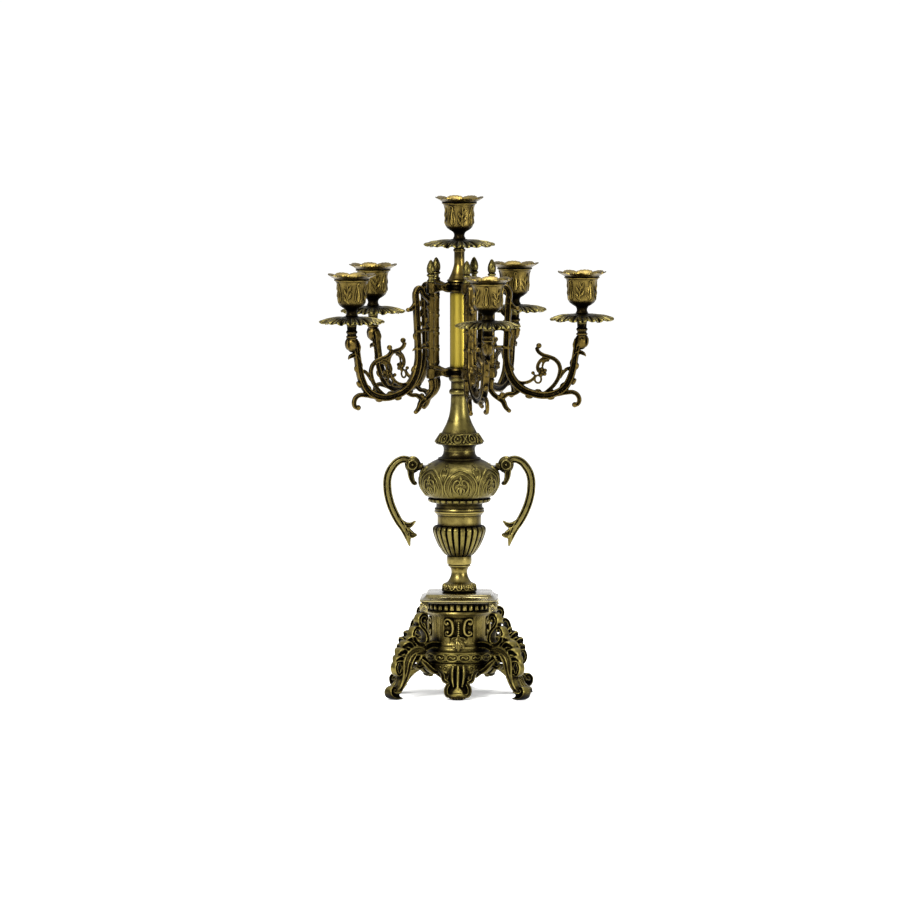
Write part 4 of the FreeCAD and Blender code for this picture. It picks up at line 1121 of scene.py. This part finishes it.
# %% The arm's scrolls: points, half widths, depth
ARM_TOP = low_high("upper_hub")[0]
ARM_REACH = math.hypot(*middle("pan_d"))
STUD_BASE = low_high("pan_d")[0]
STUD_LONG = 17
ARM_SCROLLS = [
    # outer strut, main arc and upright
    ([(33, 394), (37.2, 398.2), (42.2, 402.6), (45.2, 408.2), (49.2, 406.4), (49.8, 392),
      (48.8, 370), (48.0, 352), (47.6, 338), (50.2, 325), (56, 314), (64, 306.6), (75, 302.2),
      (87, 300.6), (98, 303), (106.6, 308.4), (112.2, 317.4), (115.6, 328.4), (117.6, 340),
      (119.6, 350), (ARM_REACH - 3.4, 357)],
     [2.9, 2.6, 2.6, 2.8, 3.2, 3.4, 3.3, 3.4, 3.5, 3.9, 4.1, 4.0, 3.8, 3.8, 3.7, 3.8, 3.7, 3.6,
      3.4, 3.8, 4.4], 0.95),
    # bud and hook at the shoulder
    ([(49.0, 398), (51.8, 392), (55.6, 388), (60.2, 386.4)], [2.6, 2.5, 2.3, 1.6], 0.9),
    ([(47.0, 380), (43.6, 384), (42.6, 390)], [1.8, 2.2, 0.9], 0.9),
    # tail outside the upright
    ([(100, 302), (109, 303.8), (117, 303.6), (121.4, 298.8), (120.6, 292.8), (117.2, 291.2)],
     [2.4, 2.3, 2.3, 2.3, 2.2, 2.0], 0.95),
    # C-scroll out of the main arc, up and over to its ball
    ([(84, 300.5), (91, 306), (97.4, 312.8), (101.6, 321.6), (101.8, 330), (97.6, 336.2),
      (91, 339.2), (84.6, 341.2), (79.8, 344.8), (78.4, 348.6)],
     [2.2, 2.0, 2.0, 2.1, 2.1, 2.1, 2.1, 2.0, 1.9, 1.9], 0.95),
    # crescent and branch that meet at the flower
    ([(91.4, 337.4), (85.2, 337.2), (80.6, 332.6), (79.6, 326.6), (83.0, 322.0)],
     [1.4, 1.7, 1.8, 1.7, 1.4], 0.95),
    ([(91.4, 335.6), (86.4, 334.4), (84.2, 329.4)], [1.1, 1.3, 1.1], 0.9),
    ([(52, 321), (60, 313.6), (68.2, 313.2), (74.4, 316.4), (78, 320.6)],
     [2.0, 1.8, 1.7, 1.6, 1.5], 0.95),
    # link to the upright
    ([(102, 318.6), (106, 324.4), (110.4, 327.8), (115, 327)], [1.6, 1.7, 1.8, 1.7], 0.95),
    # link to the tail knob and the curl under it
    ([(62, 306), (55.6, 301.8), (49.8, 301.4), (44.6, 298.4)], [2.2, 2.1, 2.2, 2.6], 0.95),
    ([(33, 316.4), (30.8, 309), (33.6, 302.4), (39, 297.6), (44.4, 294), (47, 288.4),
      (50.4, 284.6)], [3.2, 2.7, 2.5, 2.5, 2.8, 2.4, 2.0], 0.95),
]
# knobs: hook, tail, C-scroll, tail knob, and leaf buds that break the outline
KNOBS = [((59.4, 387), 2.4), ((117.0, 291.6), 2.9), ((80.8, 350.2), 2.9), ((43.6, 300.4), 3.0),
         ((40.6, 298), 2.6), ((50.6, 284.6), 2.3)]
BUDS = [(45.6, 372, 80, 2.2), (51.8, 360, 100, 2.3), (45.2, 338, 70, 2.3), (53.4, 328, 60, 2.4),
        (58, 306.6, 30, 2.3), (70.6, 298.8, 10, 2.4), (80, 305.4, 5, 2.0), (93, 297.8, -5, 2.3),
        (104.8, 311.6, -40, 2.2), (116.4, 314.6, -60, 2.4), (113.6, 334, -80, 2.1),
        (119.8, 330, -75, 2.0)]
FLOWER_OUT, FLOWER_UP = 84.4, 324
print("an arm has", len(ARM_SCROLLS), "scrolls,", len(KNOBS), "knobs and", len(BUDS), "buds")


# %% Pin sleeve and leaves of the arm
def arm_sleeve(casting):
    """The sleeve with its collars and leaves, and the bars across to the outer strut."""
    top = ARM_TOP - 0.3
    scroll(casting, [(PIN_OUT, 328.0), (PIN_OUT, 345), (PIN_OUT, 372), (PIN_OUT, top)],
           [3.4, 3.1, 3.1, 3.5], ROUND, 1.0)
    for up, wide in ((331, 3.9), (347, 3.8), (365, 3.8), (383, 3.8), (399, 4.1)):
        ball(casting, (PIN_OUT, 0, up), wide, (1, 1, 0.5))
    for up in (336, 352, 370, 388):
        tilted_ball(casting, (PIN_OUT + 2.8, 0, up), 2.0, (1.9, 1.2, 0.8), 62)
        tilted_ball(casting, (PIN_OUT - 2.6, 0, up + 7), 1.7, (1.8, 1.2, 0.8), 118)
    for up in (341, 357, 375, 391):
        scroll(casting, [(PIN_OUT - 2.4, -4), (PIN_OUT, 1), (PIN_OUT + 2.4, 5)], [0.6, 1.0, 0.6],
               up=up)
    for up in (348, 365.5):
        scroll(casting, [(PIN_OUT, 0), (41, 0.8), (48.2, 0)], [1.8, 1.3, 1.8], ROUND, 1.1, up=up)
        ball(casting, (48.2, 0, up), 4.2, (1, 1, 0.55))
    scroll(casting, [(48.6, 346.6), (52.4, 347.4), (54.6, 345.4)], [1.8, 1.3, 0.4], ROUND, 1.0)


def arm_leaves(casting):
    """Leaves along the upright, and the capital with its thorn."""
    for points, widths in (([(117, 338), (121.4, 344), (126.0, 342.8), (128.6, 340.0)],
                            [1.6, 2.3, 1.8, 0.4]),
                           ([(118.0, 344), (118.0, 352), (121, 360)], [1.4, 3.0, 2.2]),
                           ([(126.4, 362), (129.0, 356.4), (126.4, 350.6), (123.4, 352.4)],
                            [1.8, 2.3, 2.1, 1.4])):
        scroll(casting, points, widths, GROOVED, 1.5)
    ball(casting, (ARM_REACH, 0, 355), 5.4, (1, 1, 1.5), 3)
    ball(casting, (ARM_REACH + 0.6, -3.8, 357), 2.4)
    ball(casting, (ARM_REACH + 0.6, 3.8, 357), 2.4)


# %% Cast the arm
def arm():
    """An arm in the plane y = 0, with the column's axis at 0."""
    casting = bmesh.new()
    for points, widths, deep in ARM_SCROLLS:
        scroll(casting, points, widths, GROOVED, deep)
    for across, height, lean, size in BUDS:
        tilted_ball(casting, (across, 0, height), size, (1.7, 1.1, 0.8), -lean)
    for (across, height), radius in KNOBS:
        ball(casting, (across, 0, height), radius, (1, 1.05, 1))
    # the flower: petals round a knob, a side bud and the small diamond loop under it
    for petal in range(5):
        turn = petal * math.tau / 5 + 0.5
        ball(casting, (FLOWER_OUT + 3.1 * math.cos(turn), 0, FLOWER_UP + 3.1 * math.sin(turn)),
             2.1, (1, 1.1, 1))
    ball(casting, (FLOWER_OUT, 0, FLOWER_UP), 2.0, (1, 1.7, 1))
    ball(casting, (74.8, 0, 322.8), 2.0)
    scroll(casting, [(80.0, 320.6), (76.6, 316.8), (79.8, 312.8), (83.2, 316.6)], 1.1, cyclic=True)
    arm_sleeve(casting)
    arm_leaves(casting)
    cast(casting, VOXEL * 0.92)
    # collar and stud above the capital, turned true
    spigot = spun(bmesh.new(), [
        [(0.0, 352.0), (4.2, 352.0)], [(4.2, 352.0), (4.4, 360.0), (5.6, 361.6)],
        [(5.6, 361.6), (5.8, 363.0), (4.7, 363.8)],
        [(4.7, 363.8), (4.7, 365.6), (5.7, 366.4), (5.6, 368.0), (4.6, 369.0)],
        [(4.6, 369.0), (4.9, STUD_BASE)], [(4.9, STUD_BASE), (3.0, STUD_BASE)],
        [(3.0, STUD_BASE), (3.0, STUD_BASE + STUD_LONG)],
        [(3.0, STUD_BASE + STUD_LONG), (0.0, STUD_BASE + STUD_LONG)]], 48)
    bmesh.ops.translate(spigot, vec=(ARM_REACH, 0, 0), verts=spigot.verts)
    return add(casting, spigot)


arm_casting = arm()
for tag, azimuth in AZIMUTHS.items():
    finished(turned_to(arm_casting.copy(), azimuth), f"scroll_arm_{tag}", dark_brass,
             f"arm_body_{tag}", f"arm_{tag}", crease=60)
arm_casting.free()

# %% [markdown]
# ## Drip pans and candle cups
#
# A pan is a thin leaf-edged saucer on a tapered boss. It is spun, its edge is drawn in and
# ruffled by angle, and ribs are laid on it. Its zero is the seat on which the cup stands.

# %% Drip pan
BOSS = 11           # the radius at which the thin saucer starts
RIBS = 16


def pan(edge):
    """A pan whose lobes reach out to edge."""

    def lace(angle, radius, height):
        """Nicks and ruffles that grow towards the edge, with a vein to each nick."""
        share = max(0.0, (radius - BOSS) / (edge - BOSS))
        lobe = abs(math.cos(angle * 4))
        nick = abs(math.cos(angle * 20))
        wide_here = radius * (1 - share * (0.15 * (1 - lobe ** 0.5) + 0.08 * (1 - nick ** 0.5)))
        vein = 0.9 * nick * math.sin(min(1, share * 1.15) * math.pi)
        ruffle = 1.1 * share * (lobe - 0.6) + 0.7 * share * math.sin(angle * 20)
        return wide_here, height + vein + ruffle

    saucer = spun(bmesh.new(), [
        [(BORE, -10), (4.9, -10)],
        [(4.9, -10), (5.2, -8.6), (6.8, -6.6), (9.0, -4.6), (11.5, -3.4)],
        [(11.5, -3.4), (18, -3.9), (25, -4.9), (edge - 2, -6.2), (edge, -6.6)],
        [(edge, -6.6), (edge + 0.2, -5.6)],
        [(edge + 0.2, -5.6), (edge - 1.2, -4.6), (25, -3.0), (18, -2.0), (11.5, -1.3),
         (7.6, -0.1)],
        [(7.6, -0.1), (7.0, 0.0), (BORE, 0.0)], [(BORE, 0.0), (BORE, -10)]], 320)
    carved(saucer, lace)
    for count in range(RIBS):
        unit = bmesh.new()
        length = edge - (3.5 if count % 2 == 0 else 6.5)
        scroll(unit, [(10, -1.8), (18, -2.4), (length - 4, -3.6), (length, -4.6)],
               [0.4, 1.3, 1.5, 0.5], ROUND, 0.9)
        add(saucer, turned_to(unit, 360 / RIBS * count + 90))
    for count in range(12):
        unit = bmesh.new()
        ball(unit, (8.4, 0, -5.0), 1.5, (0.8, 0.9, 1.4), 1)
        add(saucer, turned_to(unit, 30 * count))
    return saucer


def put(bm, spot, turn):
    """Turns a round piece by some degrees about its own axis and moves it to its place."""
    bmesh.ops.rotate(bm, matrix=Matrix.Rotation(math.radians(turn), 3, "Z"), verts=bm.verts)
    bmesh.ops.translate(bm, vec=spot, verts=bm.verts)
    return bm


SHY = 0.4           # how much smaller than its node's box a pan is
pan_casting = pan(half_width("pan_d") - SHY)
for tag in ARMS:
    name = f"pan_{tag}"
    finished(put(pan_casting.copy(), (*middle(name), low_high(name)[1]), AZIMUTHS[tag] * 3),
             f"drip_pan_{tag}", cast_brass, f"pan_body_{tag}", name, crease=50)
pan_casting.free()
finished(put(pan(half_width("centre_pan") - SHY), (0, 0, low_high("centre_pan")[1]), 0),
         "drip_pan_centre", cast_brass, "pan_body_centre", "centre_pan", crease=50)

# %% [markdown]
# ### Candle cups
#
# A cup has a round body with leaves and sprigs in low relief and a rim of eight lobes, like an
# open flower. The candle's bore is straight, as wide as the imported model's, and is spun with
# the rest.

# %% Candle cup
LOBES = 8
CANDLE = 11.25      # radius of the bore
LIP = 16.5          # the radius at which the rim starts to open


def lobed(angle, radius, height):
    """Opens the rim into lobes that curl up between deep dips."""
    if height < 30:
        return radius, height
    share = min(1.0, max(0.0, (radius - LIP) / 7.5))
    lobe = abs(math.cos(angle * LOBES / 2)) ** 0.6
    frill = 0.25 * math.sin(angle * 40) * share
    return (radius * (1 - 0.12 * share * (1 - lobe)) + frill,
            height + share * (1.9 * lobe - 1.5) + frill * 0.6)


cup_wall_line = [(12.4, 11.0), (13.9, 14.0), (14.2, 20.0), (14.4, 28.0), (15.0, 32.0),
                 (16.4, 35.0)]
cup = spun(bmesh.new(), [
    [(0.0, 0.05), (5.9, 0.05)],
    [(5.9, 0.05), (6.3, 0.9), (5.5, 2.0), (5.2, 4.2), (6.3, 6.8), (9.4, 8.8), (12.4, 11.0)],
    cup_wall_line,
    [(16.4, 35.0), (17.6, 35.4), (17.8, 36.2), (17.0, 36.8)],
    [(17.0, 36.8), (19.4, 38.6), (22.2, 39.9), (24.2, 41.0)], [(24.2, 41.0), (24.0, 42.0)],
    [(24.0, 42.0), (21.6, 41.2), (18.0, 39.4), (14.6, 37.6), (12.4, 36.4), (CANDLE, 34.6)],
    [(CANDLE, 34.6), (CANDLE, 18.0)], [(CANDLE, 18.0), (0.0, 18.0)]], 192)
carved(cup, lobed)
cup_wall = surface_of(cup_wall_line)
for count in range(LOBES):
    unit = bmesh.new()
    if count % 2:
        scroll(unit, [(0, 33.4), (-1.5, 28), (-3.1, 21.5), (-2.3, 15.6), (0, 13.6), (2.3, 15.6),
                      (3.1, 21.5), (1.5, 28)], 0.6, ROUND, 1.3, cyclic=True)
        scroll(unit, [(0, 30.5), (0, 25), (0, 19), (0, 15)], [0.3, 1.1, 2.1, 1.1], ROUND, 0.6)
    else:
        scroll(unit, [(0.6, 13.2), (-0.6, 19), (0.5, 26), (-0.3, 32.6)], [0.5, 0.6, 0.6, 0.4])
        for side, up in ((-1, 14.5), (1, 18.0), (-1, 21.5), (1, 25.0)):
            scroll(unit, [(0.3, 0), (2.4, 2.6), (3.9, 6.6)], [0.5, 1.35, 0.4], GROOVED, 0.8, up=up,
                   side=side)
    add(cup, wrapped(unit, cup_wall, 14.3, 360 / LOBES * count))
for tag, name in [(tag, f"candle_cup_{tag}") for tag in ARMS] + [("centre", "centre_candle_cup")]:
    finished(put(cup.copy(), (*middle(name), low_high(name)[0]), AZIMUTHS.get(tag, 0) * 2 + 12),
             f"flower_cup_{tag}", cup_brass, f"cup_body_{tag}", name)
cup.free()

# %% [markdown]
# ## The parts kept as they are
#
# The rod, its nut and washer, the handles' screws and the pins are plain turned parts. Their
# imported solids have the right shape, so they only get a finish.

# %% Finishes of the parts kept as they are
for name, finish in (("handle_screws", steel), ("tie_rod", steel), ("base_washer", steel),
                     ("base_nut", steel), ("pivot_pins", dark_brass)):
    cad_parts[name].data.materials.clear()
    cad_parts[name].data.materials.append(finish)
    print(name, "gets", finish.name)
for profile in (GROOVED, BANDED, ROUND):
    bpy.data.objects.remove(profile)

# %% [markdown]
# ## Floor, light and camera
#
# Metal shows what is round it, so the sky is bright overhead and dim at the horizon: that draws
# dark edges on round parts, and a soft box on the left draws their bright stripe. A pale wall
# behind makes the flat tops almost white where they are seen at a low angle. The camera stands
# far away with a long lens, so that upright lines stay upright.

# %% Studio
floor_mesh = bpy.data.meshes.new("floor")
floor_bm = bmesh.new()
bmesh.ops.create_grid(floor_bm, x_segments=1, y_segments=1, size=20.0)
floor_bm.to_mesh(floor_mesh)
floor_bm.free()
paper, paper_tree, paper_out = blank("matt white paper")
paper_shader = node(paper_tree, "ShaderNodeBsdfPrincipled", Roughness=0.9)
paper_shader.inputs["Base Color"].default_value = srgb("#f4f4f2")
paper_shader.inputs["Emission Color"].default_value = (1.0, 1.0, 1.0, 1.0)
paper_shader.inputs["Emission Strength"].default_value = 0.32
paper_tree.links.new(paper_shader.outputs["BSDF"], paper_out.inputs["Surface"])
floor_mesh.materials.append(paper)
floor = bpy.data.objects.new("floor", floor_mesh)
bpy.context.scene.collection.objects.link(floor)

world = bpy.data.worlds.new("studio")
bpy.context.scene.world = world
world.use_nodes = True
sky = world.node_tree.nodes["Background"]
sky.inputs["Color"].default_value = (1.0, 1.0, 1.0, 1.0)
SKY_LOW, SKY_HIGH, WALL = 0.14, 1.0, 0.9
direction = node(world.node_tree, "ShaderNodeTexCoord").outputs["Generated"]
height_of = node(world.node_tree, "ShaderNodeSeparateXYZ", {"Vector": direction})
fade = node(world.node_tree, "ShaderNodeMapRange", {"Value": height_of.outputs["Z"]})
for socket, value in (("From Min", 0.0), ("From Max", 0.85), ("To Min", SKY_LOW),
                      ("To Max", SKY_HIGH)):
    fade.inputs[socket].default_value = value
wall = node(world.node_tree, "ShaderNodeMapRange", {"Value": height_of.outputs["Y"]})
for socket, value in (("From Min", 0.85), ("From Max", 0.99), ("To Min", 0.0), ("To Max", WALL)):
    wall.inputs[socket].default_value = value
lit = node(world.node_tree, "ShaderNodeMath",
           {0: fade.outputs["Result"], 1: wall.outputs["Result"]}, operation="MAXIMUM")
seen = node(world.node_tree, "ShaderNodeLightPath").outputs["Is Camera Ray"]
strength = node(world.node_tree, "ShaderNodeMath", {0: lit.outputs[0], 1: seen},
                operation="MAXIMUM")
world.node_tree.links.new(strength.outputs[0], sky.inputs["Strength"])


def softbox(name, spot, aim, size, power):
    """A square area light that looks at a point."""
    light = bpy.data.lights.new(name, "AREA")
    light.size, light.energy = size, power
    lamp = bpy.data.objects.new(name, light)
    lamp.location = spot
    lamp.rotation_euler = (Vector(aim) - Vector(spot)).to_track_quat("-Z", "Y").to_euler()
    bpy.context.scene.collection.objects.link(lamp)


AIM = (0, 0, 0.25)
softbox("key", (-0.9, -1.5, 1.2), AIM, 0.6, 42)
softbox("fill", (1.4, -1.0, 0.5), AIM, 0.4, 14)
softbox("top", (0.1, 0.2, 1.9), AIM, 0.9, 36)
print("floor, world and lights made")

# %% Camera
DISTANCE = 11.0
IN_VIEW = 0.9       # metres across the picture at the object
SENSOR = 36
ELEVATION = math.radians(4.75)
VIEW_CENTRE = Vector((-0.0093, 0, 0.2445))
lens_data = bpy.data.cameras.new("camera")
lens_data.sensor_width = SENSOR
lens_data.lens = SENSOR * DISTANCE / IN_VIEW
lens_data.clip_end = 100
camera = bpy.data.objects.new("camera", lens_data)
camera.location = VIEW_CENTRE + DISTANCE * Vector((0, -math.cos(ELEVATION), math.sin(ELEVATION)))
camera.rotation_euler = (VIEW_CENTRE - camera.location).to_track_quat("-Z", "Y").to_euler()
bpy.context.scene.collection.objects.link(camera)
bpy.context.scene.camera = camera
bpy.context.scene.view_settings.view_transform = "Standard"
print("camera at", [round(c, 3) for c in camera.location])
